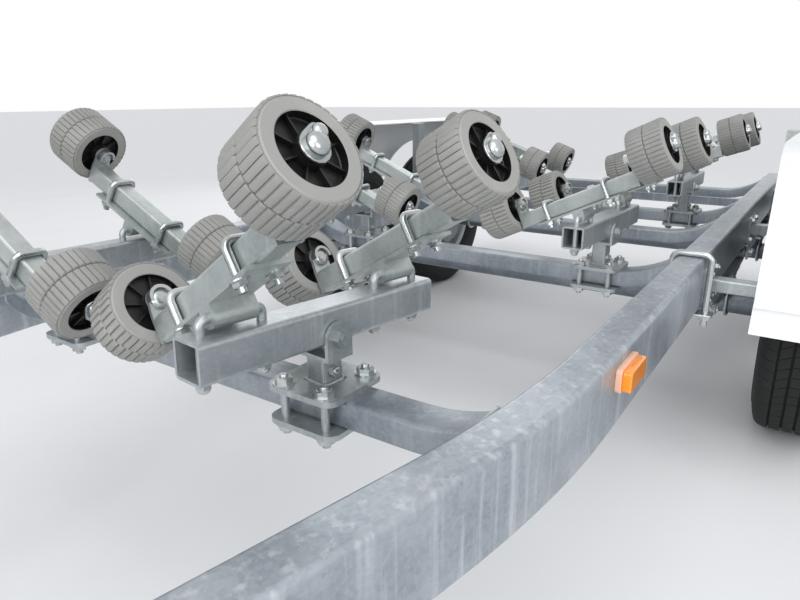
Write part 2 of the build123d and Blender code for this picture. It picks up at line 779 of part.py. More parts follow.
with BuildPart() as lever:
    lean = radians(68)
    direction = Vector(-cos(lean), 0, sin(lean))
    with BuildSketch(Plane.XZ.offset(-10)):
        with Locations((lever_x, lever_z)):
            Circle(15)
    extrude(amount=20)
    with BuildSketch(Plane(origin=(lever_x, 0, lever_z), x_dir=(0, 1, 0), z_dir=direction)):
        RectangleRounded(18, 24, 4)
    extrude(amount=330)
    with BuildSketch(Plane.XZ.offset(-11)):
        with Locations((lever_x, lever_z)):
            Circle(6 + pin_clearance)
    extrude(amount=22, mode=Mode.SUBTRACT)
export(lever.part, "brake_lever")

# Jockey wheel on the left beam
jockey_y = beamCentre(jockey_x) + beam_width / 2 / cos(radians(beam_bend_angle)) + 44
tube_bottom = 260
tube_top = 760
with BuildPart() as jockey_tube:
    with BuildSketch(Plane.XY.offset(tube_bottom)):
        with Locations((jockey_x, jockey_y)):
            Circle(30)
            Circle(26, mode=Mode.SUBTRACT)
    extrude(amount=tube_top - tube_bottom)
    with BuildSketch(Plane.XY.offset(tube_top)):
        with Locations((jockey_x, jockey_y)):
            Circle(31)
    extrude(amount=14)
    for clamp_z in (deck_height - 40, beam_bottom + 8):
        with BuildSketch(Plane.XY.offset(clamp_z)):
            with Locations((jockey_x, jockey_y)):
                Circle(37)
            clamp_plane = Plane(
                origin=(jockey_x, jockey_y, clamp_z),
                x_dir=(sin(radians(beam_bend_angle)), cos(radians(beam_bend_angle)), 0),
                z_dir=(0, 0, 1),
            )
            with Locations((jockey_x - 22 * sin(radians(beam_bend_angle)), jockey_y - 22 * cos(radians(beam_bend_angle)))):
                Rectangle(60, 42, rotation=-beam_bend_angle)
            with Locations((jockey_x, jockey_y)):
                Circle(30, mode=Mode.SUBTRACT)
        extrude(amount=26)
    with BuildSketch(Plane.XY.offset(tube_top + 14)):
        with Locations((jockey_x, jockey_y)):
            Circle(8)
    extrude(amount=26)
    with BuildSketch(Plane.XZ.offset(-jockey_y - 8)):
        with Locations((jockey_x + 50, tube_top + 48)):
            Rectangle(120, 16)
    extrude(amount=16)
    with BuildSketch(Plane.XY.offset(tube_top + 56)):
        with Locations((jockey_x + 100, jockey_y)):
            Circle(9)
    extrude(amount=60)
export(jockey_tube.part, "jockey_tube")

wheel_trail = 45
fork_top = 2 * jockey_wheel_radius + 22
with BuildPart() as jockey_stem:
    with BuildSketch(Plane.XY.offset(fork_top)):
        with Locations((jockey_x, jockey_y)):
            Circle(26 - pin_clearance)
            Circle(20, mode=Mode.SUBTRACT)
    extrude(amount=deck_height + 60 - fork_top)
    with BuildSketch(Plane.XY.offset(fork_top - 6)):
        with Locations((jockey_x - wheel_trail / 2, jockey_y)):
            Rectangle(wheel_trail + 56, jockey_wheel_width + 22)
    extrude(amount=6)
    for cheek in (-1, 1):
        with BuildSketch(Plane.XZ.offset(-jockey_y - cheek * (jockey_wheel_width / 2 + 6))):
            with BuildLine():
                Polyline(
                    (jockey_x + 28, fork_top),
                    (jockey_x - wheel_trail - 28, fork_top),
                    (jockey_x - wheel_trail - 18, jockey_wheel_radius - 14),
                    (jockey_x - wheel_trail + 18, jockey_wheel_radius - 14),
                    (jockey_x + 28, fork_top),
                )
            make_face()
        extrude(amount=-cheek * 5)
    with BuildSketch(Plane.XZ.offset(-jockey_y - jockey_wheel_width / 2 - 16)):
        with Locations((jockey_x - wheel_trail, jockey_wheel_radius)):
            Circle(8)
    extrude(amount=jockey_wheel_width + 32)
export(jockey_stem.part, "jockey_stem")

with BuildPart() as jockey_wheel:
    with BuildSketch(Plane.XZ.offset(-jockey_y - jockey_wheel_width / 2)):
        with Locations((jockey_x - wheel_trail, jockey_wheel_radius)):
            Circle(jockey_wheel_radius)
            Circle(8 + pin_clearance, mode=Mode.SUBTRACT)
    extrude(amount=jockey_wheel_width)
    chamfer(jockey_wheel.edges().filter_by(GeomType.CIRCLE).group_by(SortBy.RADIUS)[-1], 6)
export(jockey_wheel.part, "jockey_wheel")

# Winch post on the beams, with the bow stop and the winch
post_tube = 80
drum_x = winch_x + 10
drum_z = winch_top + 70
with BuildPart() as winch_post:
    span = 2 * (beamCentre(winch_x) + beam_width)
    with BuildSketch(Plane.XY.offset(deck_height)):
        with Locations((winch_x, 0)):
            RectangleRounded(180, span, 10)
    extrude(amount=8)
    with BuildSketch(Plane.XY.offset(deck_height + 8)):
        with Locations((winch_x, 0)):
            RectangleRounded(post_tube, post_tube, 8)
            RectangleRounded(post_tube - 8, post_tube - 8, 4, mode=Mode.SUBTRACT)
    extrude(amount=winch_top - deck_height - 8)
    with BuildSketch(Plane.XY.offset(winch_top)):
        with Locations((winch_x, 0)):
            Rectangle(150, 110)
    extrude(amount=6)
    for cheek in (-1, 1):
        with BuildSketch(Plane.XZ.offset(-cheek * 45)):
            with BuildLine():
                Polyline(
                    (winch_x - 75, winch_top),
                    (winch_x + 75, winch_top),
                    (winch_x + 60, winch_top + 110),
                    (winch_x - 20, winch_top + 130),
                    (winch_x - 75, winch_top + 40),
                    (winch_x - 75, winch_top),
                )
            make_face()
        extrude(amount=-cheek * 5)
    for cheek in (-1, 1):
        with BuildSketch(Plane.XZ.offset(-cheek * (post_tube / 2))):
            with BuildLine():
                Polyline(
                    (winch_x - 60, winch_top - 190),
                    (winch_x + 40, winch_top - 190),
                    (winch_x + 40, winch_top - 90),
                    (winch_x - 60, winch_top - 90),
                    (winch_x - 165, winch_top - 115),
                    (winch_x - 165, winch_top - 165),
                    (winch_x - 60, winch_top - 190),
                )
            make_face()
        extrude(amount=-cheek * 6)
    with BuildSketch(Plane.XZ.offset(-post_tube / 2 - 14)):
        with Locations((winch_x - 145, winch_top - 140)):
            Circle(8)
    extrude(amount=post_tube + 28)
    with BuildSketch(Plane.XZ.offset(-60)):
        with Locations((drum_x, drum_z)):
            Circle(9 + pin_clearance)
    extrude(amount=120, mode=Mode.SUBTRACT)
export(winch_post.part, "winch_post")

with BuildPart() as bow_stop:
    with BuildSketch(Plane.XZ):
        with BuildLine():
            Polyline(
                (8 + pin_clearance, -38),
                (60, -38),
                (34, 0),
                (60, 38),
                (8 + pin_clearance, 38),
                (8 + pin_clearance, -38),
            )
        make_face()
    revolve(axis=Axis.Z)
stop_plane = Plane(origin=(winch_x - 145, 0, winch_top - 140), x_dir=(1, 0, 0), z_dir=(0, 1, 0))
export(bow_stop.part.moved(stop_plane.location), "bow_stop")

with BuildPart() as winch_drum:
    with BuildSketch(Plane.XZ.offset(-66)):
        with Locations((drum_x, drum_z)):
            Circle(9)
    extrude(amount=160)
    with BuildSketch(Plane.XZ.offset(-38)):
        with Locations((drum_x, drum_z)):
            Circle(40)
    extrude(amount=76)
    crank_y = -94
    with BuildSketch(Plane.XZ.offset(-crank_y)):
        with Locations((drum_x + 100, drum_z)):
            SlotOverall(240, 26)
    extrude(amount=8)
    with BuildSketch(Plane.XZ.offset(-crank_y + 8)):
        with Locations((drum_x + 205, drum_z)):
            Circle(12)
    extrude(amount=100)
export(winch_drum.part, "winch_drum")
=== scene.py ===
import bpy
import bmesh
import json
from math import acos, cos, pi, radians, sin, tan
from mathutils import Matrix, Vector


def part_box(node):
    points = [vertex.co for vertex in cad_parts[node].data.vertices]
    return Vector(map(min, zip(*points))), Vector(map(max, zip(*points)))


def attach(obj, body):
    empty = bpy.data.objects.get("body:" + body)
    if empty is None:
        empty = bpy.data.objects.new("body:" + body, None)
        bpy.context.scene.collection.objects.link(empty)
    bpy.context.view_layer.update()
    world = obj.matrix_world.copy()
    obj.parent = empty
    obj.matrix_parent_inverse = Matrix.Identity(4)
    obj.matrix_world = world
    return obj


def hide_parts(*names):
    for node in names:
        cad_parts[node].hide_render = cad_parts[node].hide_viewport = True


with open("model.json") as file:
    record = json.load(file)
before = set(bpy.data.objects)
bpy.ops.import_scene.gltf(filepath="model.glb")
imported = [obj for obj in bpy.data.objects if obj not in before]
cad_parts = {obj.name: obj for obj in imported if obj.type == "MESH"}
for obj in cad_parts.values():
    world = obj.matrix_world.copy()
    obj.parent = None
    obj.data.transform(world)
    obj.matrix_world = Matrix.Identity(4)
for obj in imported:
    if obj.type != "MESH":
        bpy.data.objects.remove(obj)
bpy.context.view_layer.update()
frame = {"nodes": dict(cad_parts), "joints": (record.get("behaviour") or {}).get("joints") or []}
nodes = frame["nodes"]
joints = {j["name"]: j for j in frame["joints"]}
print("frame loaded,", len(nodes), "nodes")

scene = bpy.context.scene
sides = (("left", 1), ("right", -1))
square = ((-1, -1), (1, -1), (1, 1), (-1, 1))


# Small helpers

def hexColour(code):
    # Linear colour of a hex code, by the sRGB curve
    code = code.lstrip("#")
    channels = [int(code[i:i + 2], 16) / 255 for i in (0, 2, 4)]
    linear = [c / 12.92 if c <= 0.04045 else ((c + 0.055) / 1.055) ** 2.4 for c in channels]
    return (*linear, 1.0)


def addNode(tree, kind, inputs={}, **settings):
    # Adds a node; an input is a value or another node's socket
    node = tree.nodes.new(kind)
    for key, value in settings.items():
        setattr(node, key, value)
    for key, value in inputs.items():
        if isinstance(value, bpy.types.NodeSocket):
            tree.links.new(value, node.inputs[key])
        else:
            node.inputs[key].default_value = value
    return node


def addObject(name, data):
    thing = bpy.data.objects.new(name, data)
    scene.collection.objects.link(thing)
    return thing


def jointAt(name):
    return Vector(joints[name]["pos_m"])


def maths(tree, operation, *values):
    inputs = dict(enumerate(values))
    return addNode(tree, "ShaderNodeMath", inputs, operation=operation).outputs[0]


# Materials

def newMaterial(name, colour, metallic, roughness):
    material = bpy.data.materials.new(name)
    material.use_nodes = True
    tree = material.node_tree
    shader = tree.nodes["Principled BSDF"]
    shader.inputs["Base Color"].default_value = hexColour(colour)
    shader.inputs["Metallic"].default_value = metallic
    shader.inputs["Roughness"].default_value = roughness
    material.diffuse_color = hexColour(colour)
    place = addNode(tree, "ShaderNodeTexCoord").outputs["Object"]
    return material, tree, shader, place


def finishSurface(tree, shader, colour, roughness):
    tree.links.new(colour, shader.inputs["Base Color"])
    tree.links.new(roughness, shader.inputs["Roughness"])


def blendColours(tree, factor, first, second):
    mix = addNode(tree, "ShaderNodeMix", {0: factor}, data_type="RGBA")
    for index, value in ((6, first), (7, second)):  # the node's two colour inputs
        if isinstance(value, str):
            mix.inputs[index].default_value = hexColour(value)
        else:
            tree.links.new(value, mix.inputs[index])
    return mix.outputs[2]


def ramp(tree, factor, low, high, top=1.0):
    limits = {"Value": factor, "From Min": low, "From Max": high, "To Max": top}
    node = addNode(tree, "ShaderNodeMapRange", limits, interpolation_type="SMOOTHSTEP")
    return node.outputs["Result"]


def spread(tree, factor, low, high):
    limits = {"Value": factor, "To Min": low, "To Max": high}
    return addNode(tree, "ShaderNodeMapRange", limits).outputs["Result"]


def noise(tree, where, scale, detail, rough=0.55):
    inputs = {"Vector": where, "Scale": scale, "Detail": detail, "Roughness": rough}
    return addNode(tree, "ShaderNodeTexNoise", inputs).outputs["Fac"]


def bumpFrom(tree, shader, height, strength, distance):
    inputs = {"Height": height, "Strength": strength, "Distance": distance}
    bump = addNode(tree, "ShaderNodeBump", inputs)
    tree.links.new(bump.outputs["Normal"], shader.inputs["Normal"])


zincSkin = {
    "patches": 7.0,  # clouds, 100 to 150 mm across
    "crystals": 210.0,  # spangle of 5 mm
    "runs": (70.0, 70.0, 4.0),  # upright drips, 15 mm wide
    "stains": 38.0,  # dull specks, 10 to 25 mm
    "ripple": 480.0, "bump": 0.1, "height": 0.0005,
}


def hotDipZinc(name, mid, light, dark, metallic=0.7, roughness=0.36, runs=0.5, spangle=0.16):
    # Hot-dip galvanised steel: blue-grey, with cloudy patches, a faint spangle, drips and stains
    skin = zincSkin
    material, tree, shader, place = newMaterial(name, mid, metallic, roughness)
    clouds = noise(tree, place, skin["patches"], 6.0, 0.62)
    colour = blendColours(tree, ramp(tree, clouds, 0.34, 0.68), dark, mid)
    inputs = {"Vector": place, "Scale": skin["crystals"]}
    cells = addNode(tree, "ShaderNodeTexVoronoi", inputs, feature="F1").outputs["Color"]
    crystal = addNode(tree, "ShaderNodeSeparateColor", {"Color": cells}).outputs[0]
    colour = blendColours(tree, maths(tree, "MULTIPLY", crystal, spangle), colour, light)
    drawn = addNode(tree, "ShaderNodeMapping", {"Vector": place, "Scale": skin["runs"]})
    dripping = noise(tree, drawn.outputs["Vector"], 1.0, 3.0)
    colour = blendColours(tree, ramp(tree, dripping, 0.5, 0.74, runs), colour, light)
    stains = noise(tree, place, skin["stains"], 5.0, 0.7)
    colour = blendColours(tree, ramp(tree, stains, 0.6, 0.8, 0.4), colour, dark)
    finishSurface(tree, shader, colour, spread(tree, clouds, roughness - 0.08, roughness + 0.14))
    ripple = noise(tree, place, skin["ripple"], 3.0)
    bumpFrom(tree, shader, ripple, skin["bump"], skin["height"])
    return material


mouldedSkin = {"clouds": 14.0, "dust": 160.0, "height": 0.0004, "coatRoughness": 0.12}


def moulded(name, base, light, roughness, scale, strength, coat=0.0, speck=0.35):
    # Moulded plastic, rubber or paint: soft clouding, dust in patches and a fine skin
    skin = mouldedSkin
    material, tree, shader, place = newMaterial(name, base, 0.0, roughness)
    clouds = noise(tree, place, skin["clouds"], 6.0)
    colour = blendColours(tree, ramp(tree, clouds, 0.4, 0.72, speck), base, light)
    dust = noise(tree, place, skin["dust"], 4.0, 0.7)
    colour = blendColours(tree, ramp(tree, dust, 0.55, 0.8, speck * 0.5), colour, light)
    finishSurface(tree, shader, colour, spread(tree, clouds, roughness - 0.05, roughness + 0.1))
    bumpFrom(tree, shader, noise(tree, place, scale, 4.0), strength, skin["height"])
    if coat:
        shader.inputs["Coat Weight"].default_value = coat
        shader.inputs["Coat Roughness"].default_value = skin["coatRoughness"]
    return material


lensSkin = {
    "roughness": 0.16, "ribs": 78.0, "ribShade": 0.35, "height": 0.0006, "clouds": 40.0,
    "coat": 0.7, "coatRoughness": 0.05, "scatter": (0.012, 0.007, 0.002),
}


def lensPlastic(name, base, deep, glow=0.15):
    # Tinted lens moulded with slanting prism ribs, about 6 mm apart
    skin = lensSkin
    material, tree, shader, place = newMaterial(name, base, 0.0, skin["roughness"])
    inputs = {"Vector": place, "Scale": skin["ribs"]}
    waves = addNode(tree, "ShaderNodeTexWave", inputs, bands_direction="DIAGONAL")
    ribs = waves.outputs["Fac"]
    clouds = noise(tree, place, skin["clouds"], 2.0)
    colour = blendColours(tree, maths(tree, "MULTIPLY", ribs, skin["ribShade"]), base, deep)
    colour = blendColours(tree, ramp(tree, clouds, 0.3, 0.9, 0.2), colour, deep)
    tree.links.new(colour, shader.inputs["Base Color"])
    bumpFrom(tree, shader, ribs, 0.2, skin["height"])
    shader.inputs["Coat Weight"].default_value = skin["coat"]
    shader.inputs["Coat Roughness"].default_value = skin["coatRoughness"]
    shader.inputs["Subsurface Weight"].default_value = glow
    shader.inputs["Subsurface Radius"].default_value = skin["scatter"]
    return material


beamZinc = hotDipZinc("hotDipGalvanisedTube", "#a9b0b7", "#d6dadd", "#8b939c")
# Darker copy of the same zinc for the cross-members: painted shade
memberZincPaintedShade = hotDipZinc("hotDipGalvanisedMemberPaintedShade", "#9ba1a7", "#bfc4c8", "#7c848c", runs=0.25)
# Lighter copies of the same zinc for the cradle bars, the fittings and the arms: painted light, for
# faces that catch more light
barZincPaintedLight = hotDipZinc(
    "hotDipGalvanisedBarPaintedLight", "#afb4b7", "#d2d6d7", "#939a9e", roughness=0.34, runs=0.35)
cradleZincPaintedLight = hotDipZinc(
    "hotDipGalvanisedFittingsPaintedLight", "#b0b5b6", "#d3d6d6", "#92999b", roughness=0.33, runs=0.3)
armZincPaintedLight = hotDipZinc(
    "hotDipGalvanisedArmPaintedLight", "#b7bcbb", "#d4d8d6", "#98a09f", roughness=0.34, runs=0.2)
boltZinc = hotDipZinc(
    "brightZincPlate", "#c3c6c6", "#e6e8e8", "#9fa4a5", 0.92, roughness=0.24, runs=0.0, spangle=0.1)
springZinc = hotDipZinc(
    "galvanisedSpringLeaf", "#868d94", "#a7adb2", "#686f77", roughness=0.45, runs=0.1)
rimSilver = moulded("silverWheelPaint", "#b4b8ba", "#c9cccd", 0.32, 300.0, 0.05, coat=0.4)
rollerRubber = moulded("greyNonMarkingRubber", "#8d8d8a", "#a9a9a5", 0.7, 260.0, 0.35, speck=0.45)
ringRubber = moulded("paleRollerSideRubber", "#989894", "#adada9", 0.62, 260.0, 0.25, speck=0.4)
coreNylon = moulded("blackRollerCore", "#0b0b0c", "#1a1a1b", 0.42, 300.0, 0.1)
tyreRubber = moulded("blackTyreRubber", "#0e0f0f", "#1c1d1e", 0.74, 500.0, 0.4, speck=0.5)
blackPlastic = moulded("blackMouldedPlastic", "#161718", "#242526", 0.48, 400.0, 0.15)
fenderWhite = moulded(
    "whiteFenderPolyethylene", "#dfe1e3", "#e9eaea", 0.28, 90.0, 0.05, coat=0.3, speck=0.25)
lampBase = moulded("paleLampBase", "#e6b59b", "#f1cfbd", 0.4, 300.0, 0.05)
amberLens = lensPlastic("amberMarkerLens", "#ff9a16", "#ef7906")
redLens = lensPlastic("redTailLens", "#b3120e", "#7d0a09")
clearLens = lensPlastic("clearReverseLens", "#dfe1e2", "#b8bcbe", 0.05)
leverBlack = moulded("blackLeverPaint", "#131415", "#222324", 0.36, 350.0, 0.1, coat=0.3)

cadFinish = {
    # starts of the names of nodes that stay; cradleZincPaintedLight is for the rest
    "side_beam": beamZinc, "cradle_bar": barZincPaintedLight, "cradle_arm": armZincPaintedLight, "axle": springZinc,
    "leaf_springs": springZinc, "fender_brackets": cradleZincPaintedLight, "fender_": fenderWhite,
    "lamp_bar": beamZinc, "coupling_head": boltZinc, "jockey_tube": boltZinc,
    "winch_post": beamZinc, "winch_drum": boltZinc, "wheel_rim": rimSilver,
    "gaiter": blackPlastic, "bow_stop": blackPlastic, "jockey_wheel": tyreRubber,
    "brake_lever": leverBlack,
}
for nodeName, piece in nodes.items():
    finish = next((m for start, m in cadFinish.items() if nodeName.startswith(start)), cradleZincPaintedLight)
    piece.data.materials.clear()
    piece.data.materials.append(finish)
print("materials made")


# Mesh building

def meshFrom(bm, name):
    mesh = bpy.data.meshes.new(name)
    bm.to_mesh(mesh)
    bm.free()
    return mesh


def makePiece(name, source, materials, body, smooth):
    # Turns a bmesh or a mesh into a piece that rides on its body
    mesh = source
    if isinstance(source, bmesh.types.BMesh):
        bmesh.ops.remove_doubles(source, verts=source.verts, dist=1e-6)
        bmesh.ops.recalc_face_normals(source, faces=source.faces)
        mesh = meshFrom(source, name)
    mesh.name = name
    kinds = [p.material_index for p in mesh.polygons]
    mesh.materials.clear()
    for one in materials if isinstance(materials, list) else [materials]:
        mesh.materials.append(one)
    mesh.polygons.foreach_set("material_index", kinds)
    mesh.shade_smooth()
    mesh.set_sharp_from_angle(angle=radians(smooth))
    piece = addObject(name, mesh)
    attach(piece, body)
    return piece


def axisPlace(origin, up, towards=None):
    # Matrix whose Z runs along up and whose X leans to towards
    z = Vector(up).normalized()
    if towards is None:
        towards = (1, 0, 0) if abs(z.x) < 0.9 else (0, 1, 0)
    seed = Vector(towards)
    x = (seed - z * seed.dot(z)).normalized()
    matrix = Matrix((x, z.cross(x), z)).transposed().to_4x4()
    matrix.translation = Vector(origin)
    return matrix


def loft(bm, sections, closed=False, kind=0):
    # Skins equal-length loops of points; closed joins the last loop to the first
    loops = [[bm.verts.new(p) for p in section] for section in sections]
    size = len(loops[0])
    pairs = list(zip(loops, loops[1:])) + ([(loops[-1], loops[0])] if closed else [])
    for low, high in pairs:
        for s in range(size):
            t = (s + 1) % size
            bm.faces.new((low[s], low[t], high[t], high[s])).material_index = kind
    if not closed:
        bm.faces.new(list(reversed(loops[0]))).material_index = kind
        bm.faces.new(loops[-1]).material_index = kind


def turned(bm, profile, steps, place, kinds=None, closed=True):
    # Turns (radius, height) points about the place's Z; a zero radius closes to one point
    angles = [2 * pi * s / steps for s in range(steps)]
    rings = []
    for radius, height in profile:
        circle = [(radius * cos(a), radius * sin(a), height) for a in angles]
        points = circle if radius > 1e-7 else [(0, 0, height)]
        rings.append([bm.verts.new(place @ Vector(p)) for p in points])
    pairs = list(zip(rings, rings[1:])) + ([(rings[-1], rings[0])] if closed else [])
    for index, (low, high) in enumerate(pairs):
        for s in range(steps):
            t = (s + 1) % steps
            l, h = len(low), len(high)
            corners = (low[s % l], low[t % l], high[t % h], high[s % h])
            face = bm.faces.new(list(dict.fromkeys(corners)))
            face.material_index = kinds[index] if kinds else 0


def extruded(bm, outline, start, stop, place, kind=0, edge=0.0):
    # Flat outline in the place's XY, from start to stop along its Z, chamfered by edge
    count = len(outline)
    middle = Vector((sum(x for x, y in outline) / count, sum(y for x, y in outline) / count))
    reach = max((Vector(p) - middle).length for p in outline)
    shrink = 1 - edge / reach
    step = edge if stop > start else -edge
    levels = ((start, shrink), (start + step, 1), (stop - step, 1), (stop, shrink))
    sections = []
    for height, factor in levels if edge else ((start, 1), (stop, 1)):
        points = [(middle + (Vector(p) - middle) * factor) for p in outline]
        sections.append([place @ Vector((p.x, p.y, height)) for p in points])
    loft(bm, sections, kind=kind)


def roundedOutline(width, height, radius, steps=4):
    points = []
    for right, top, first in ((1, 1, 0), (-1, 1, 90), (-1, -1, 180), (1, -1, 270)):
        x, y = right * (width / 2 - radius), top * (height / 2 - radius)
        for s in range(steps + 1):
            a = radians(first + 90 * s / steps)
            points.append((x + radius * cos(a), y + radius * sin(a)))
    return points


def slab(bm, shape, place, kind=0):
    # Rounded plate: width, height, corner, start and stop along the place's Z, chamfer
    width, height, corner, start, stop, edge = shape
    extruded(bm, roundedOutline(width, height, corner), start, stop, place, kind, edge)


def linkOutline(firstRadius, secondRadius, distance, steps=10):
    # Outline round two discs, the second at distance along X
    lean = acos((firstRadius - secondRadius) / distance)
    discs = ((0, firstRadius, lean, 2 * pi - 2 * lean), (distance, secondRadius, -lean, 2 * lean))
    points = []
    for centre, radius, first, sweep in discs:
        for s in range(steps + 1):
            a = first + sweep * s / steps
            points.append((centre + radius * cos(a), radius * sin(a)))
    return points


def roundBar(bm, points, radius, count=10, closed=False, wobble=0.0, beat=2.4):
    # Round bar along points with flat ends; wobble swells it point by point, as a weld bead
    sections = []
    normal = None
    total = len(points)
    angles = [2 * pi * s / count for s in range(count)]
    for i, p in enumerate(points):
        ahead = points[(i + 1) % total] if closed or i < total - 1 else p
        behind = points[i - 1] if closed or i > 0 else p
        along = (ahead - behind).normalized()
        if normal is None:
            normal = along.cross(Vector((0, 0, 1) if abs(along.z) < 0.9 else (1, 0, 0)))
        normal = (normal - along * normal.dot(along)).normalized()
        other = along.cross(normal)
        size = radius * (1 + wobble * sin(i * beat))
        sections.append([p + (normal * cos(a) + other * sin(a)) * size for a in angles])
    loft(bm, sections, closed=closed)


def bentPath(corners, radius, steps=5):
    # Points of a bent bar through corners, with arcs of the given radius
    out = [corners[0]]
    for a, b, c in zip(corners, corners[1:], corners[2:]):
        u, v = (a - b).normalized(), (c - b).normalized()
        half = u.angle(v) / 2
        centre = b + (u + v).normalized() * (radius / sin(half))
        start = b + u * (radius / tan(half)) - centre
        stop = b + v * (radius / tan(half)) - centre
        whole = start.angle(stop)
        for s in range(steps + 1):
            w = s / steps
            near, far = sin((1 - w) * whole) / sin(whole), sin(w * whole) / sin(whole)
            out.append(centre + start * near + stop * far)
    out.append(corners[-1])
    return out


def washer(bm, inner, outer, low, high, place, steps):
    turned(bm, [(inner, low), (outer, low), (outer, high), (inner, high)], steps, place)


def dome(bm, at, out, radius, height, steps=20):
    # Pan head or acorn end: a low collar under a rounded crown
    crown = ((0, 0), (1, 0), (1, 0.3), (0.94, 0.55), (0.72, 0.82), (0.4, 0.96), (0, 1))
    profile = [(r * radius, h * height) for r, h in crown]
    turned(bm, profile, steps, axisPlace(at, out), closed=False)


# Repeats, by two trees

def runTree(source, tree, values):
    # Evaluates a tree on the source mesh and returns what it makes as a plain mesh
    holder = addObject(source.name, source)
    modifier = holder.modifiers.new("build", "NODES")
    modifier.node_group = tree
    for item in tree.interface.items_tree:
        if item.item_type == "SOCKET" and item.in_out == "INPUT" and item.name in values:
            modifier[item.identifier] = values[item.name]
    bpy.context.view_layer.update()
    evaluated = holder.evaluated_get(bpy.context.evaluated_depsgraph_get())
    mesh = bpy.data.meshes.new_from_object(evaluated)
    bpy.data.objects.remove(holder)
    bpy.data.meshes.remove(source)
    return mesh


def newTree(name, values):
    # Geometry tree whose inputs are named values and a finish
    tree = bpy.data.node_groups.new(name, "GeometryNodeTree")
    face = tree.interface
    face.new_socket("Geometry", in_out="INPUT", socket_type="NodeSocketGeometry")
    for label, value in values:
        kind = "NodeSocketInt" if isinstance(value, int) else "NodeSocketFloat"
        face.new_socket(label, in_out="INPUT", socket_type=kind).default_value = value
    face.new_socket("Finish", in_out="INPUT", socket_type="NodeSocketMaterial")
    face.new_socket("Geometry", in_out="OUTPUT", socket_type="NodeSocketGeometry")
    return tree, addNode(tree, "NodeGroupInput").outputs


def endTree(tree, group, instancing):
    # Puts instances on points, makes them real meshes and gives them the finish
    put = addNode(tree, "GeometryNodeInstanceOnPoints", instancing).outputs["Instances"]
    real = addNode(tree, "GeometryNodeRealizeInstances", {"Geometry": put})
    inputs = {"Geometry": real.outputs["Geometry"], "Material": group["Finish"]}
    paint = addNode(tree, "GeometryNodeSetMaterial", inputs)
    addNode(tree, "NodeGroupOutput", {"Geometry": paint.outputs["Geometry"]})


fastener = {
    "inputs": (("Head Height", 0.6), ("Washer Radius", 1.2), ("Washer Height", 0.16),
               ("Thread Radius", 0.52), ("Thread Height", 0.35)),
    "sides": (20, 6, 18, 14),  # washer, head, crown, thread
    "crown": (0.84, 0.08, 0.7), "threadTaper": 0.8,
}


def fastenerTree():
    # Hex head, washer, crown and thread end on every point, by the point's facing and size
    f = fastener
    tree, group = newTree("hexFasteners", f["inputs"])
    join = addNode(tree, "GeometryNodeJoinGeometry")

    def stack(count, radius, height, base, topRadius=None):
        inputs = {"Vertices": count, "Radius Bottom": radius, "Radius Top": topRadius or radius,
                  "Depth": height}
        body = addNode(tree, "GeometryNodeMeshCone", inputs).outputs["Mesh"]
        lift = addNode(tree, "ShaderNodeCombineXYZ", {"Z": base}).outputs[0]
        move = addNode(tree, "GeometryNodeTransform", {"Geometry": body, "Translation": lift})
        tree.links.new(move.outputs["Geometry"], join.inputs["Geometry"])

    def stored(name, kind):
        node = addNode(tree, "GeometryNodeInputNamedAttribute", {"Name": name}, data_type=kind)
        return node.outputs["Attribute"]

    headTop = maths(tree, "ADD", group["Washer Height"], group["Head Height"])
    threadTop = maths(tree, "MULTIPLY", group["Thread Radius"], f["threadTaper"])
    washerSides, headSides, crownSides, threadSides = f["sides"]
    foot, height, top = f["crown"]
    stack(washerSides, group["Washer Radius"], group["Washer Height"], 0.0)
    stack(headSides, 1.0, group["Head Height"], group["Washer Height"])
    stack(crownSides, foot, height, headTop, top)
    stack(threadSides, group["Thread Radius"], group["Thread Height"], headTop, threadTop)
    inputs = {"Vector": stored("facing", "FLOAT_VECTOR")}
    align = addNode(tree, "FunctionNodeAlignRotationToVector", inputs, axis="Z")
    endTree(tree, group, {
        "Points": group["Geometry"], "Instance": join.outputs["Geometry"],
        "Rotation": align.outputs["Rotation"], "Scale": stored("size", "FLOAT")})
    return tree


def ringTree():
    # Repeats the holder's own mesh about Z, Count times, starting at Turn
    tree, group = newTree("ringRepeat", (("Count", 12), ("Turn", 0.0)))
    inputs = {"Count": group["Count"], "Offset": (0.0, 0.0, 0.0)}
    points = addNode(tree, "GeometryNodeMeshLine", inputs).outputs["Mesh"]
    index = addNode(tree, "GeometryNodeInputIndex").outputs[0]
    share = maths(tree, "DIVIDE", index, group["Count"])
    angle = maths(tree, "MULTIPLY_ADD", share, 2 * pi, group["Turn"])
    euler = addNode(tree, "ShaderNodeCombineXYZ", {"Z": angle}).outputs[0]
    turn = addNode(tree, "FunctionNodeEulerToRotation", {"Euler": euler})
    endTree(tree, group, {
        "Points": points, "Instance": group["Geometry"], "Rotation": turn.outputs["Rotation"]})
    return tree


hexTree = fastenerTree()
repeatTree = ringTree()


def addFasteners(name, body, spots, values=None):
    # A spot is a place on the surface, its outward direction and half the width across corners
    mesh = bpy.data.meshes.new(name + "Points")
    mesh.from_pydata([tuple(at) for at, out, size in spots], [], [])
    mesh.attributes.new("facing", "FLOAT_VECTOR", "POINT")
    mesh.attributes.new("size", "FLOAT", "POINT")
    directions = [c for at, out, size in spots for c in Vector(out).normalized()]
    mesh.attributes["facing"].data.foreach_set("vector", directions)
    mesh.attributes["size"].data.foreach_set("value", [size for at, out, size in spots])
    made = runTree(mesh, hexTree, {"Finish": boltZinc, **(values or {})})
    makePiece(name, made, boltZinc, body, 30.0)


def ringOf(bm, part, count, turn, finish, kind, place):
    # Adds count copies of the small bmesh part round the place's Z
    bmesh.ops.recalc_face_normals(part, faces=part.faces)
    values = {"Count": count, "Turn": turn, "Finish": finish}
    made = runTree(meshFrom(part, "ringPart"), repeatTree, values)
    made.transform(place)
    start = len(bm.faces)
    bm.from_mesh(made)
    bm.faces.ensure_lookup_table()
    for face in bm.faces[start:]:
        face.material_index = kind
    bpy.data.meshes.remove(made)


# Rollers: drum, pale side rings, deep black recesses with thin webs, two rows of ribs

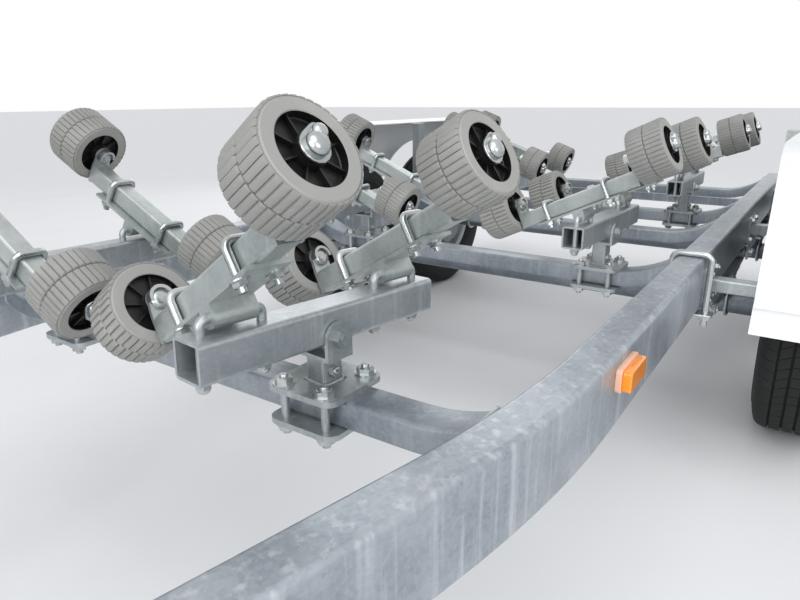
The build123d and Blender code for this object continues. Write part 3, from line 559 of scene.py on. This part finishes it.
roller = {
    "root": 0.057, "halfWidth": 0.0375, "ringInner": 0.04, "recess": 0.0125, "hub": 0.0175,
    "bore": 0.0082, "bevel": 0.001, "coreEdge": 0.0012, "shoulder": (0.003, 0.0026),
    "seam": (0.0018, 0.0012), "spread": 0.186, "steps": 64,
    "webs": 8, "webTurn": 0.2, "webHalf": 0.001, "webInto": (0.0005, 0.0004),
    "webSpan": (-0.0006, 0.0062),
    "ribs": 38, "rows": ((-1, 0.0), (1, 0.055)),
    "ribTip": 0.0599, "ribHeel": 0.0583, "ribFoot": 0.0561,
    "ribSides": (-0.0043, -0.0034, 0.0008, 0.0041, 0.0043),  # foot, tip, tip, heel, foot
    "stations": ((0.0008, 0.0018), (0.0024, 0.0), (0.0323, 0.0), (0.0363, 0.0019)),
}


def rollerPrototype():
    # One roller about Z; a rib station is its height over the middle and how far the tip drops
    r = roller
    w, root, inner, hub, bevel = (r[k] for k in ("halfWidth", "root", "ringInner", "hub", "bevel"))
    floor = w - r["recess"]
    half = [
        (r["bore"], w - bevel), (hub, w - bevel), (hub, floor), (inner - r["coreEdge"], floor),
        (inner, floor + bevel), (inner, w - bevel), (inner + bevel, w),
        (root - r["shoulder"][0], w), (root, w - r["shoulder"][1]),
        (root, r["seam"][1]), (root - r["seam"][0], 0.0)]
    tread, ring, core = range(3)
    halfKinds = [core] * 5 + [ring] * 3 + [tread] * 2
    profile = half + [(x, -z) for x, z in reversed(half[:-1])]
    centre = Matrix.Identity(4)
    bm = bmesh.new()
    turned(bm, profile, r["steps"], centre, halfKinds + halfKinds[::-1] + [core])
    near, far = hub - r["webInto"][0], inner + r["webInto"][1]
    thick = r["webHalf"]
    outline = [(near, -thick), (far, -thick), (far, thick), (near, thick)]
    for face in (-1, 1):
        web = bmesh.new()
        start, stop = (face * (floor + z) for z in r["webSpan"])
        extruded(web, outline, start, stop, centre)
        ringOf(bm, web, r["webs"], r["webTurn"], coreNylon, core, centre)
    for row, turn in r["rows"]:
        rib = bmesh.new()
        sections = []
        for z, drop in r["stations"]:
            tip = r["ribTip"] - drop
            radii = (r["ribFoot"], tip, tip, r["ribHeel"] - drop * 0.5, r["ribFoot"])
            sections.append([Vector((x, y, row * z)) for x, y in zip(radii, r["ribSides"])])
        loft(rib, sections)
        ringOf(bm, rib, r["ribs"], turn, rollerRubber, tread, centre)
    return meshFrom(bm, "rollerPrototype")


rollerMesh = rollerPrototype()
rollerFinishes = [rollerRubber, ringRubber, coreNylon]
arms = {}
for jointName, joint in joints.items():
    if not jointName.startswith("spin_"):
        continue
    place = jointName[len("spin_"):]
    centre = jointAt(jointName)
    pivot = jointAt("rock_" + place)
    along = Vector(joint["axis"]).normalized()
    up = (centre - pivot).normalized()
    arms[place] = (pivot, along, up, up.cross(along))
    bm = bmesh.new()
    for end in (-1, 1):
        copy = rollerMesh.copy()
        copy.transform(axisPlace(centre + along * (end * roller["spread"]), along * end, up))
        bm.from_mesh(copy)
        bpy.data.meshes.remove(copy)
    piece = makePiece("ribbedRollers_" + place, meshFrom(bm, "ribbedRollers"), rollerFinishes,
                      "rollers_" + place, 28.0)
    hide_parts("rollers_" + place)
print("rollers made")


# Rocking arms: U-bolts over the tube, lock plates and heads at the pins, folded bracket edges

arm = {
    "tubeBottom": 0.018, "tubeTop": 0.053, "plate": 0.005,
    "clampAt": 0.072, "legAt": 0.0235, "legEnd": 0.014, "bar": 0.0055, "bend": 0.011, "nut": 0.0095,
    "pinRise": 0.075, "lockAt": 0.2245, "lock": (0.0175, 0.0115, 0.0165),
    "faces": (-0.0002, 0.0032), "edge": 0.0008, "lockLean": (0.8, 0.6),
    "pinHead": (0.0128, 0.0115), "lockHead": (0.0085, 0.0085), "innerHead": (0.0145, 0.009),
    "faceAt": 0.1375, "fold": (0.012, 0.0164), "foldEdge": 0.0005, "flange": 0.011,
    "foldFrom": -8, "foldTurn": 196, "foldSteps": 14,
}
for place, (pivot, along, up, across) in arms.items():
    a = arm
    bm = bmesh.new()
    spots = []
    pin = pivot + up * a["pinRise"]
    plateFace = a["tubeBottom"] - a["plate"]
    crown, foot = a["tubeTop"] + a["bar"], plateFace - a["legEnd"]
    legs = ((-1, foot), (-1, crown), (1, crown), (1, foot))
    near, far = a["fold"]
    fold = ((near, a["foldEdge"]), (far, a["foldEdge"]), (far, -a["flange"]), (near, -a["flange"]))
    for end in (-1, 1):
        at = pivot + along * (end * a["clampAt"])
        corners = [at + across * (leg * a["legAt"]) + up * height for leg, height in legs]
        roundBar(bm, bentPath(corners, a["bend"]), a["bar"], 12)
        for leg in (-1, 1):
            spots.append((at + across * (leg * a["legAt"]) + up * plateFace, -up, a["nut"]))
        lean = up * a["lockLean"][0] + across * a["lockLean"][1]
        lock = axisPlace(pin + along * (end * a["lockAt"]), along * end, lean)
        back, front = a["faces"]
        extruded(bm, linkOutline(*a["lock"]), back, front, lock, edge=a["edge"])
        dome(bm, lock @ Vector((0, 0, front)), along * end, *a["pinHead"], 24)
        dome(bm, lock @ Vector((a["lock"][2], 0, front)), along * end, *a["lockHead"])
        innerFace = pin + along * (end * a["faceAt"])
        dome(bm, innerFace, along * -end, *a["innerHead"], 24)
        sections = []
        for s in range(a["foldSteps"] + 1):  # folded edge round the bracket's nose
            turn = radians(a["foldFrom"] + a["foldTurn"] * s / a["foldSteps"])
            out = across * cos(turn) + up * sin(turn)
            sections.append([innerFace + out * r + along * (end * z) for r, z in fold])
        loft(bm, sections)
    makePiece("armFittings_" + place, bm, boltZinc, "arm_" + place, 40.0)
    addFasteners("armNuts_" + place, "arm_" + place, spots)
print("arm fittings made")


# Cradle bars: washers and acorn ends under the U-bolts

bar = {
    "crown": 0.043, "half": 0.025, "reach": 0.042, "nut": 0.0095,
    "washer": (0.0058, 0.0135, 0.0, 0.0018), "acorn": (0.0082, 0.0085),
}
for place in [sideName + "_" + number for sideName, side in sides for number in "123"]:
    front, rear = (jointAt("rock_" + place + end) for end in ("_front", "_rear"))
    along = (front - rear).normalized()
    up = along.cross(Vector(joints["pitch_" + place]["axis"]).normalized())
    up = up if up.z > 0 else -up
    bm = bmesh.new()
    for top in (front, rear):
        for leg in (-1, 1):
            under = top + along * (leg * bar["reach"]) - up * (bar["crown"] + bar["half"])
            washer(bm, *bar["washer"], axisPlace(under, -up), 20)
            dome(bm, under - up * bar["nut"], -up, *bar["acorn"])
    makePiece("barNuts_" + place, bm, boltZinc, "bar_" + place, 40.0)
print("bar nuts made")


# Cross-members: flat tube, both ends swept up to the beams and welded there

lowBeam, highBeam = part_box("side_beam_left")
beam = {
    "y": highBeam[1] - 0.03, "half": 0.03, "top": highBeam[2], "bottom": lowBeam[2],
    "bendAt": -0.25, "bendRadius": 1.77, "bendAngle": radians(12),
}
member = {
    "width": 0.06, "height": 0.04, "corner": 0.006, "bend": 0.26, "endDrop": 0.012, "into": 0.003,
    "steps": 10, "weld": 0.0032, "weldGrow": 1.03, "weldDrop": 0.006,
}
memberRows = {
    # x, depth of the top under the beam's; 1 to 3 carry cradles
    "1": (-0.03, 0.03), "2": (-0.99, 0.065), "axles": (-1.56, 0.065), "3": (-1.95, 0.065),
    "rear": (-2.7, 0.065),
}


def beamFace(x):
    # Distance of the beam's inner face from the trailer's middle, at x
    b = beam
    inner, radius, angle = b["y"] - b["half"], b["bendRadius"], b["bendAngle"]
    run = max(0.0, x - b["bendAt"])
    arc = radius * sin(angle)
    if run < arc:
        return inner - (radius - (radius ** 2 - run ** 2) ** 0.5)
    return inner - radius * (1 - cos(angle)) - (run - arc) * tan(angle)


bm = bmesh.new()
memberWelds = bmesh.new()
for x, drop in memberRows.values():
    m = member
    face = beamFace(x + m["width"] / 2) + m["into"]
    angle = acos(1 - (drop - m["endDrop"]) / m["bend"])
    flat, level = face - m["bend"] * sin(angle), beam["top"] - drop - m["height"] / 2
    outline = roundedOutline(m["width"], m["height"], m["corner"])
    turns = [angle * s / m["steps"] for s in range(m["steps"] + 1)]
    half = [(flat + m["bend"] * sin(t), level + m["bend"] * (1 - cos(t)), t) for t in turns]
    sections = []
    for y, z, t in [(-y, z, -t) for y, z, t in reversed(half)] + half:
        atBeam = abs(abs(y) - face) < 1e-6  # the ends are cut upright there
        lean, rise = (0.0, 1 / cos(t)) if atBeam else (-sin(t), cos(t))
        sections.append([Vector((x + a, y + b * lean, z + b * rise)) for a, b in outline])
    loft(bm, sections)
    endZ, highest = half[-1][1], beam["top"] - m["weldDrop"]
    grown = [(a * m["weldGrow"], b * m["weldGrow"]) for a, b in outline]
    for side in (-1, 1):
        y = side * (face - m["into"])
        ring = [Vector((x + a, y, min(endZ + b / cos(angle), highest))) for a, b in grown]
        roundBar(memberWelds, ring, m["weld"], 6, closed=True, wobble=0.2)
piece = makePiece("sweptMembers", bm, memberZincPaintedShade, "frame", 40.0)
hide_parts("cross_members")
makePiece("memberWelds", memberWelds, cradleZincPaintedLight, "frame", 60.0)
print("cross-members made")


# Cradle posts: clamp bolts, a cross bolt through the foot, weld beads

post = {
    "half": 0.0175, "boltX": 0.043, "boltY": 0.035, "plate": 0.008, "bolt": 0.0125,
    "rise": 0.015, "crossBolt": 0.0085, "weldOut": 0.001, "weld": 0.0032, "weldSteps": 7,
}
spots = []
beads = bmesh.new()
for number in "123":
    p = post
    memberX, drop = memberRows[number]
    plateTop = beam["top"] - drop + p["plate"]
    through = Vector((0, 0, member["height"] + 2 * p["plate"]))
    for sideName, side in sides:
        joint = joints["pitch_" + sideName + "_" + number]
        pivot = Vector(joint["pos_m"])
        axis = Vector(joint["axis"]).normalized()
        axis = axis if axis.y * side > 0 else -axis
        for dx in (-p["boltX"], p["boltX"]):
            for dy in (-p["boltY"], p["boltY"]):
                at = Vector((memberX + dx, pivot.y + dy, plateTop))
                spots.append((at, (0, 0, 1), p["bolt"]))
                spots.append((at - through, (0, 0, -1), p["bolt"]))
        foot = Vector((pivot.x, pivot.y, plateTop))
        cross = foot + Vector((0, 0, p["rise"]))
        for face in (-1, 1):
            spots.append((cross + axis * (face * p["half"]), axis * face, p["crossBolt"]))
        h = p["half"] + p["weldOut"]
        beside = axis.cross(Vector((0, 0, 1)))
        ring = [axis * (x * h) + beside * (y * h) for x, y in square]
        path = []
        for first, second in zip(ring, ring[1:] + ring[:1]):
            path += [foot + first.lerp(second, s / p["weldSteps"]) for s in range(p["weldSteps"])]
        roundBar(beads, path, p["weld"], 6, closed=True, wobble=0.22)
addFasteners("postBolts", "frame", spots)
makePiece("postWelds", beads, cradleZincPaintedLight, "frame", 60.0)
print("post fittings made")


# Side beams and running gear: U-bolts, bolt heads, spring clamps, wheel bolts

axles = {name: jointAt("roll_left_" + name) for name in ("front", "rear")}
frontX, rearX = axles["front"].x, axles["rear"].x
wheel = {"y": axles["front"].y, "z": axles["front"].z, "middle": (frontX + rearX) / 2}
beamBolt = {
    "x": -0.93, "bar": 0.0075, "outerGap": 0.0052, "legEnd": 0.034, "bend": 0.017,
    "plate": (0.04, 0.118, 0.008, -0.003, 0.0025, 0.0006), "plateAt": 0.0065,
    "nutDrop": 0.0095, "nut": 0.0125,
}
spring = {
    "half": 0.33, "eye": 0.397, "eyeOut": 0.037, "eyeBolt": 0.0145,
    "hangerX": 0.041, "hangerY": 0.024, "hangerZ": 0.424, "lowBolt": 0.0085,
    "legX": 0.0355, "legY": 0.0368, "legTop": 0.397, "bar": 0.0055, "nutZ": 0.385, "nut": 0.0095,
    "seat": (0.1, 0.098, 0.008, -0.001, 0.006, 0.0006), "seatZ": 0.379,
}
bracket = {
    "xs": (-1.01, wheel["middle"], -2.55), "y": 0.616, "z": 0.475,
    "boltX": 0.037, "boltZ": 0.031, "bolt": 0.0095,
}
spots = []
bm = bmesh.new()
for sideName, side in sides:
    b, g, k = beamBolt, spring, bracket
    beamY = side * beam["y"]
    inner = side * (beam["y"] - beam["half"] - b["bar"])
    outer = side * (beam["y"] + beam["half"] + b["bar"] + b["outerGap"])
    foot, crown = beam["bottom"] - b["legEnd"], beam["top"] + b["bar"]
    legs = ((inner, foot), (inner, crown), (outer, crown), (outer, foot))
    roundBar(bm, bentPath([Vector((b["x"], y, z)) for y, z in legs], b["bend"], 7), b["bar"], 14)
    plate = axisPlace((b["x"], beamY, beam["bottom"] - b["plateAt"]), (0, 0, 1))
    slab(bm, b["plate"], plate)
    for y in (inner, outer):
        at = Vector((b["x"], y, beam["bottom"] - b["nutDrop"]))
        spots.append((at, (0, 0, -1), b["nut"]))
    for x in (wheel["middle"], frontX + g["half"], rearX - g["half"]):
        for face in (-1, 1):
            at = Vector((x, beamY + face * g["eyeOut"], g["eye"]))
            spots.append((at, (0, face, 0), g["eyeBolt"]))
            for dy in (-g["hangerY"], g["hangerY"]):
                at = Vector((x + face * g["hangerX"], beamY + dy, g["hangerZ"]))
                spots.append((at, (0, 0, -1), g["lowBolt"]))
    for centre in axles.values():
        for face in (-1, 1):  # U-bolt under the axle
            y, reach = beamY + face * g["legY"], g["legX"]
            turns = [radians(180 + 15 * s) for s in range(13)]
            arc = [Vector((centre.x + reach * cos(t), y, centre.z + reach * sin(t))) for t in turns]
            first, last = (Vector((p.x, y, g["legTop"])) for p in (arc[0], arc[-1]))
            roundBar(bm, [first, *arc, last], g["bar"])
            for dx in (-reach, reach):
                spots.append((Vector((centre.x + dx, y, g["nutZ"])), (0, 0, 1), g["nut"]))
        slab(bm, g["seat"], axisPlace((centre.x, beamY, g["seatZ"]), (0, 0, 1)))
    for x in k["xs"]:
        for dx, dz in ((-1, 1), (1, 1), (-1, -1), (1, -1)):
            at = Vector((x + dx * k["boltX"], side * k["y"], k["z"] + dz * k["boltZ"]))
            spots.append((at, (0, side, 0), k["bolt"]))
makePiece("frameUBolts", bm, boltZinc, "frame", 40.0)
addFasteners("gearBolts", "frame", spots)

wheelBolts = {
    "circle": 0.078, "face": 0.0365, "size": 0.0115, "count": 5, "turn": 0.3,
    "shape": {"Head Height": 1.0, "Thread Height": 0.02},
}
for axleName, axle in axles.items():
    for sideName, side in sides:
        w = wheelBolts
        centre = Vector((axle.x, side * wheel["y"], wheel["z"]))
        spots = []
        for n in range(w["count"]):
            t = 2 * pi * n / w["count"] + w["turn"]
            out = Vector((cos(t) * w["circle"], side * w["face"], sin(t) * w["circle"]))
            spots.append((centre + out, (0, side, 0), w["size"]))
        place = sideName + "_" + axleName
        addFasteners("wheelBolts_" + place, "wheel_" + place, spots, w["shape"])
print("running gear fittings made")


# Tyres: sidewall rings, grooved tread with sipes

tyre = {
    "steps": 96, "blocks": 72, "gap": 0.0016, "groove": 0.3162, "grooveEdge": 0.058,
    "tread": 0.3242, "blockRoot": 0.3152, "turn": 0.02, "flare": 0.0002,
    "slant": 0.25, "slantFrom": 0.06,
    # radius, distance from the middle
    "wall": (
        (0.1785, 0.054), (0.189, 0.0695), (0.195, 0.0735), (0.2, 0.0775), (0.205, 0.078),
        (0.209, 0.0825), (0.222, 0.0882), (0.237, 0.0914), (0.25, 0.0924), (0.262, 0.0918),
        (0.264, 0.0926), (0.267, 0.0924), (0.269, 0.0902), (0.285, 0.088), (0.298, 0.0846),
        (0.308, 0.0785), (0.314, 0.07)),
    "shoulder": (
        (0.314, 0.047), (0.324, 0.0472), (0.3246, 0.05), (0.3234, 0.06), (0.3202, 0.069),
        (0.3156, 0.075), (0.31, 0.0796), (0.305, 0.0818), (0.303, 0.0785), (0.31, 0.069)),
    # rows of blocks: middle, width, lean, turn
    "rows": ((0.0, 0.0225, 0.0, 0.0), (0.0295, 0.024, 0.5, 0.03), (-0.0295, 0.024, -0.5, 0.03)),
}


def tyrePiece(place, axle, side):
    t = tyre
    seat = axisPlace((axle.x, side * wheel["y"], wheel["z"]), (0, side, 0))
    wall = [*t["wall"], (t["groove"], t["grooveEdge"])]
    profile = wall + [(t["groove"], 0.0)] + [(r, -z) for r, z in reversed(wall)]
    bm = bmesh.new()
    turned(bm, profile, t["steps"], seat)
    half = (t["tread"] * (2 * pi / t["blocks"]) - t["gap"]) / 2
    for sign in (-1, 1):
        block = bmesh.new()
        slant = sign * t["slant"]
        slanted = [(r, (z - t["slantFrom"]) * slant, sign * z) for r, z in t["shoulder"]]
        wide = half + t["flare"]
        loft(block, [[Vector((r, y + x, z)) for r, y, z in slanted] for x in (-wide, wide)])
        ringOf(bm, block, t["blocks"], t["turn"] * sign, tyreRubber, 0, seat)
    for centre, width, lean, turn in t["rows"]:
        block = bmesh.new()
        w = width / 2
        outline = [(x * half + lean * z * w, z * w + centre) for x, z in square]
        radii = (t["blockRoot"], t["tread"])
        loft(block, [[Vector((r, x, z)) for x, z in outline] for r in radii])
        ringOf(bm, block, t["blocks"], turn, tyreRubber, 0, seat)
    bmesh.ops.recalc_face_normals(bm, faces=bm.faces)
    mesh = meshFrom(bm, "treadedTyre")
    piece = makePiece("treadedTyre_" + place, mesh, tyreRubber, "wheel_" + place, 32.0)
    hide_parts("tyre_" + place)


for axleName, axle in axles.items():
    for sideName, side in sides:
        tyrePiece(sideName + "_" + axleName, axle, side)
print("tyres made")


# Lamps: side markers on the beams, tail lamps in three sections

lampFinishes = [lampBase, amberLens, blackPlastic, redLens, clearLens]
pale, amber, black, red, clear = range(5)
marker = {
    "z": 0.513, "ahead": 0.006,
    "base": (0.086, 0.036, 0.006, -0.0004, 0.0085, 0.001),
    "lens": (0.08, 0.031, 0.005, 0.008, 0.0215, 0.002),
    # x, y of the beam's outer face, slope of the beam
    "spots": ((-0.315, 0.61, 0.0), (1.25, 0.33138, beam["bendAngle"])),
}
tail = {
    "y": 0.77, "z": 0.45,
    "base": (0.23, 0.13, 0.012, 2.8505, 2.874, 0.0015),
    "lens": (0.118, 0.007, 2.872, 2.8998, 0.003),
    # middle of the section, width, finish
    "sections": ((0.07, 0.078, amber), (-0.012, 0.078, red), (-0.08, 0.05, clear)),
}
bm = bmesh.new()
for sideName, side in sides:
    m, t = marker, tail
    for x, faceY, slope in m["spots"]:
        out = Vector((sin(slope), side * cos(slope), 0))
        forward = Vector((cos(slope), -side * sin(slope), 0))
        seat = axisPlace(Vector((x, side * faceY, m["z"])) + forward * m["ahead"], out, forward)
        slab(bm, m["base"], seat, pale)
        slab(bm, m["lens"], seat, amber)
    slab(bm, t["base"], axisPlace((0, side * t["y"], t["z"]), (-1, 0, 0), (0, side, 0)), black)
    for offset, width, finish in t["sections"]:
        seat = axisPlace((0, side * (t["y"] + offset), t["z"]), (-1, 0, 0), (0, side, 0))
        slab(bm, (width, *t["lens"]), seat, finish)
piece = makePiece("lampSet", bm, lampFinishes, "frame", 30.0)
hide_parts("lamps")
print("lamps made")


# Fenders: rolled arch edge, folded skirt lip

fender = {
    "front": -0.95, "rear": -2.61, "outer": 0.938, "inner": 0.712, "top": 0.792, "bottom": 0.388,
    "lean": 0.09, "arch": 0.372, "bridge": 0.488, "gap": 0.001, "roll": 0.003, "archSteps": 30,
    "lipZ": 0.45, "lipOut": 0.01, "lipSteps": 6, "lipLeast": 0.15, "lipInto": -0.001,
}
for sideName, side in sides:
    f = fender
    bm = bmesh.new()
    arch = f["arch"] + f["gap"]
    low, high = (acos((f[key] + f["gap"] - wheel["z"]) / arch) for key in ("bottom", "bridge"))
    rolled = []
    for x, first, last in ((frontX, low, -high), (rearX, high, -low)):
        for s in range(f["archSteps"] + 1):
            t = first + (last - first) * s / f["archSteps"]
            y = side * (f["outer"] - f["roll"])
            rolled.append(Vector((x + arch * sin(t), y, wheel["z"] + arch * cos(t))))
    roundBar(bm, rolled, f["roll"], 8)
    slope = f["lean"] / (f["top"] - f["bottom"])
    width = f["outer"] - f["inner"] - 2 * f["gap"]
    for end, wallX in ((1, f["front"]), (-1, f["rear"])):
        sections = []
        for i in range(f["lipSteps"] + 1):  # the lip dies out at the outer corner
            y = f["inner"] + f["gap"] + width * i / f["lipSteps"]
            out = f["lipOut"] * min(1.0, (f["lipSteps"] - i) / 2 + f["lipLeast"])
            shape = ((f["lipInto"], 0.03), (out * 0.35, 0.016), (out, 0.003), (out, -0.0015),
                     (out * 0.3, -0.003), (f["lipInto"], -0.003))
            points = [(x - slope * (f["lipZ"] + z - f["bottom"]), f["lipZ"] + z) for x, z in shape]
            sections.append([Vector((wallX + end * x, side * y, z)) for x, z in points])
        loft(bm, sections)
    makePiece("fenderTrim_" + sideName, bm, fenderWhite, "frame", 50.0)
print("fender trim made")


# Coupling, brake lever, jockey wheel and winch: bolts, clamps, grips and discs

jockey = jointAt("jockey_swivel")
smallWheel = jointAt("jockey_spin")
drum = jointAt("winch_crank")
leverPivot = jointAt("brake_lever_swing")
bowStop = jointAt("bow_stop_spin")
drawZ = 0.388
frontRows = (
    # xs, distance to each side, z, facing (up 1, down -1, 0 to the side), size
    ((2.702, 2.742), 0.045, drawZ + 0.004, 0, 0.0118),  # coupling head
    ((2.205, 2.355), 0.071, 0.422, -1, 0.0105),  # overrun housing
    ((leverPivot.x,), 0.022, leverPivot.z, 0, 0.0105),
    ((bowStop.x,), 0.054, bowStop.z, 0, 0.0125),
    ((1.685, 1.815), 0.2, 0.558, 1, 0.0115),  # winch post's base
)
spots = []
for xs, y, z, up, size in frontRows:
    for x in xs:
        for face in (-1, 1):
            facing = (0, 0, up) if up else (0, face, 0)
            spots.append((Vector((x, face * y, z)), facing, size))
jockeyFit = {
    "clamps": (0.523, 0.451), "clampOut": 0.0368, "bolt": 0.01, "crank": (0.1, 0.8165),
    "grip": ((0.0, 0.0), (0.0093, 0.0), (0.0128, 0.002), (0.0135, 0.012), (0.0118, 0.03),
             (0.0132, 0.05), (0.0118, 0.06), (0.0, 0.062)),
    "discAt": 0.0245,
    "disc": ((0.009, 0.0), (0.02, 0.0), (0.024, 0.0005), (0.06, 0.0006), (0.066, 0.0022),
             (0.068, 0.0004), (0.009, -0.0004)),
}
clampNormal = Vector((sin(beam["bendAngle"]), cos(beam["bendAngle"]), 0))
for z in jockeyFit["clamps"]:
    at = Vector((jockey.x, jockey.y, z)) + clampNormal * jockeyFit["clampOut"]
    spots.append((at, clampNormal, jockeyFit["bolt"]))
addFasteners("frontBolts", "frame", spots)

bellows = {"xs": (2.5035, 2.5965), "clamp": (0.0335, 0.0352, -0.004, 0.004)}
bm = bmesh.new()
for x in bellows["xs"]:
    washer(bm, *bellows["clamp"], axisPlace((x, 0, drawZ), (1, 0, 0)), 32)
makePiece("bellowsClamps", bm, boltZinc, "frame", 35.0)

handle = {
    "at": (2.6695, 0, 0.475), "along": (-1, 0, 0.1),
    "grip": (0.0215, 0.031, 0.006, -0.058, 0.006, 0.003)}
bm = bmesh.new()
slab(bm, handle["grip"], axisPlace(handle["at"], handle["along"]))
crankX, crankZ = jockeyFit["crank"]
grip = axisPlace((jockey.x + crankX, jockey.y, crankZ), (0, 0, 1))
turned(bm, jockeyFit["grip"], 24, grip, closed=False)
makePiece("frameGrips", bm, blackPlastic, "frame", 35.0)

lever = {
    "lean": radians(68), "length": 0.335, "size": (0.026, 0.032, 0.009),
    # distance from the lever's end, growth there
    "grip": ((-0.125, 0.9), (-0.12, 1.0), (-0.09, 1.05), (-0.06, 0.98), (-0.03, 1.06),
             (-0.006, 1.0), (0.0, 0.8)),
}
bm = bmesh.new()
direction = Vector((-cos(lever["lean"]), 0, sin(lever["lean"])))
grip = axisPlace(leverPivot + direction * lever["length"], direction, (0, 1, 0))
outline = roundedOutline(*lever["size"])
sections = []
for z, grow in lever["grip"]:
    sections.append([grip @ Vector((x * grow, y * grow, z)) for x, y in outline])
loft(bm, sections)
makePiece("leverGrip", bm, blackPlastic, "brake_lever", 40.0)

winch = {
    "crankX": 0.205, "gripY": -0.102, "flangeY": 0.038,
    "grip": ((0.0, -0.0005), (0.0125, -0.0005), (0.0165, 0.004), (0.0172, 0.02), (0.015, 0.048),
             (0.0168, 0.08), (0.015, 0.098), (0.0, 0.1)),
    "flange": ((0.0, -0.0012), (0.0385, -0.0012), (0.0398, 0.0), (0.0385, 0.0012), (0.0, 0.0012)),
}
bm = bmesh.new()
grip = axisPlace((drum.x + winch["crankX"], winch["gripY"], drum.z), (0, -1, 0))
turned(bm, winch["grip"], 28, grip, closed=False)
makePiece("crankGrip", bm, blackPlastic, "winch_drum", 40.0)
bm = bmesh.new()
for y in (-winch["flangeY"], winch["flangeY"]):
    turned(bm, winch["flange"], 36, axisPlace((drum.x, y, drum.z), (0, 1, 0)), closed=False)
makePiece("drumFlanges", bm, boltZinc, "winch_drum", 35.0)

bm = bmesh.new()
for face in (-1, 1):  # pressed disc inside the solid tyre
    at = smallWheel + Vector((0, face * jockeyFit["discAt"], 0))
    turned(bm, jockeyFit["disc"], 40, axisPlace(at, (0, face, 0)))
makePiece("jockeyDiscs", bm, cradleZincPaintedLight, "jockey_wheel", 35.0)
print("front fittings made")


# Stage, light and camera

stage = {"reach": 60, "roughness": 0.85, "clouds": 3.0, "colours": ("#e1e2e3", "#e8e8e9")}
reach = stage["reach"]
corners = [(x * reach, y * reach, 0) for x, y in square]
floor = bpy.data.meshes.new("studioFloor")
floor.from_pydata(corners, [], [(0, 1, 2, 3)])
floorMaterial, tree, shader, place = newMaterial(
    "paleStudioFloor", "#e4e5e6", 0.0, stage["roughness"])
colour = blendColours(tree, noise(tree, place, stage["clouds"], 5.0), *stage["colours"])
tree.links.new(colour, shader.inputs["Base Color"])
floor.materials.append(floorMaterial)
floorPiece = addObject("studioFloor", floor)

world = bpy.data.worlds.new("studioWorld")
scene.world = world
world.use_nodes = True
sky = world.node_tree
sky.nodes.clear()
rays = addNode(sky, "ShaderNodeLightPath").outputs
seen = maths(sky, "MAXIMUM", rays["Is Camera Ray"], rays["Is Glossy Ray"])
seen = maths(sky, "MAXIMUM", seen, rays["Is Transmission Ray"])
backgrounds = []
for colour, strength in ((hexColour("#f1f4f8"), 0.62), ((1, 1, 1, 1), 1.0)):  # ambient, seen
    inputs = {"Color": colour, "Strength": strength}
    backgrounds.append(addNode(sky, "ShaderNodeBackground", inputs).outputs[0])
inputs = {0: seen, 1: backgrounds[0], 2: backgrounds[1]}
mixed = addNode(sky, "ShaderNodeMixShader", inputs)
addNode(sky, "ShaderNodeOutputWorld", {"Surface": mixed.outputs[0]})

lights = {
    # place, aim, size, watts
    "sidePanel": ((1.6, 4.2, 2.0), (-0.3, 0.5, 0.5), 2.2, 42.0),
    "frontPanel": ((3.4, 0.9, 1.9), (-0.6, 0.2, 0.6), 2.4, 70.0),
    "farPanel": ((-4.6, -2.9, 2.9), (-1.0, 0.2, 0.5), 3.0, 35.0),
}
sun = {"energy": 1.1, "spread": radians(50), "aim": (-0.45, -0.3, -1.0)}  # one even, soft sky light


def addLamp(name, light, at, direction):
    lamp = addObject(name, light)
    lamp.location = at
    lamp.rotation_euler = Vector(direction).to_track_quat("-Z", "Y").to_euler()


for name, (at, aim, size, watts) in lights.items():
    light = bpy.data.lights.new(name, "AREA")
    light.size = size
    light.energy = watts
    addLamp(name, light, at, Vector(aim) - Vector(at))
light = bpy.data.lights.new("skySun", "SUN")
light.energy = sun["energy"]
light.angle = sun["spread"]
addLamp("skySun", light, (0, 0, 0), sun["aim"])

viewpoint = {
    "place": (0.5586, 0.81548, 0.88709), "focal": 632.08, "photoWidth": 800,
    "right": (-0.5629168, 0.82649043, -0.00618467),
    "down": (0.25405658, 0.1659059, -0.95285386),
}
cameraData = bpy.data.cameras.new("photoCamera")
cameraData.sensor_fit = "HORIZONTAL"
cameraData.lens = viewpoint["focal"] / viewpoint["photoWidth"] * cameraData.sensor_width
cameraData.clip_start = 0.02
cameraData.clip_end = 200.0
camera = addObject("photoCamera", cameraData)
right, down = Vector(viewpoint["right"]), Vector(viewpoint["down"])
pose = Matrix((right, -down, -right.cross(down))).transposed().to_4x4()
pose.translation = Vector(viewpoint["place"])
camera.matrix_world = pose
scene.camera = camera
scene.view_settings.view_transform = "Standard"
print("stage, lights and camera set")
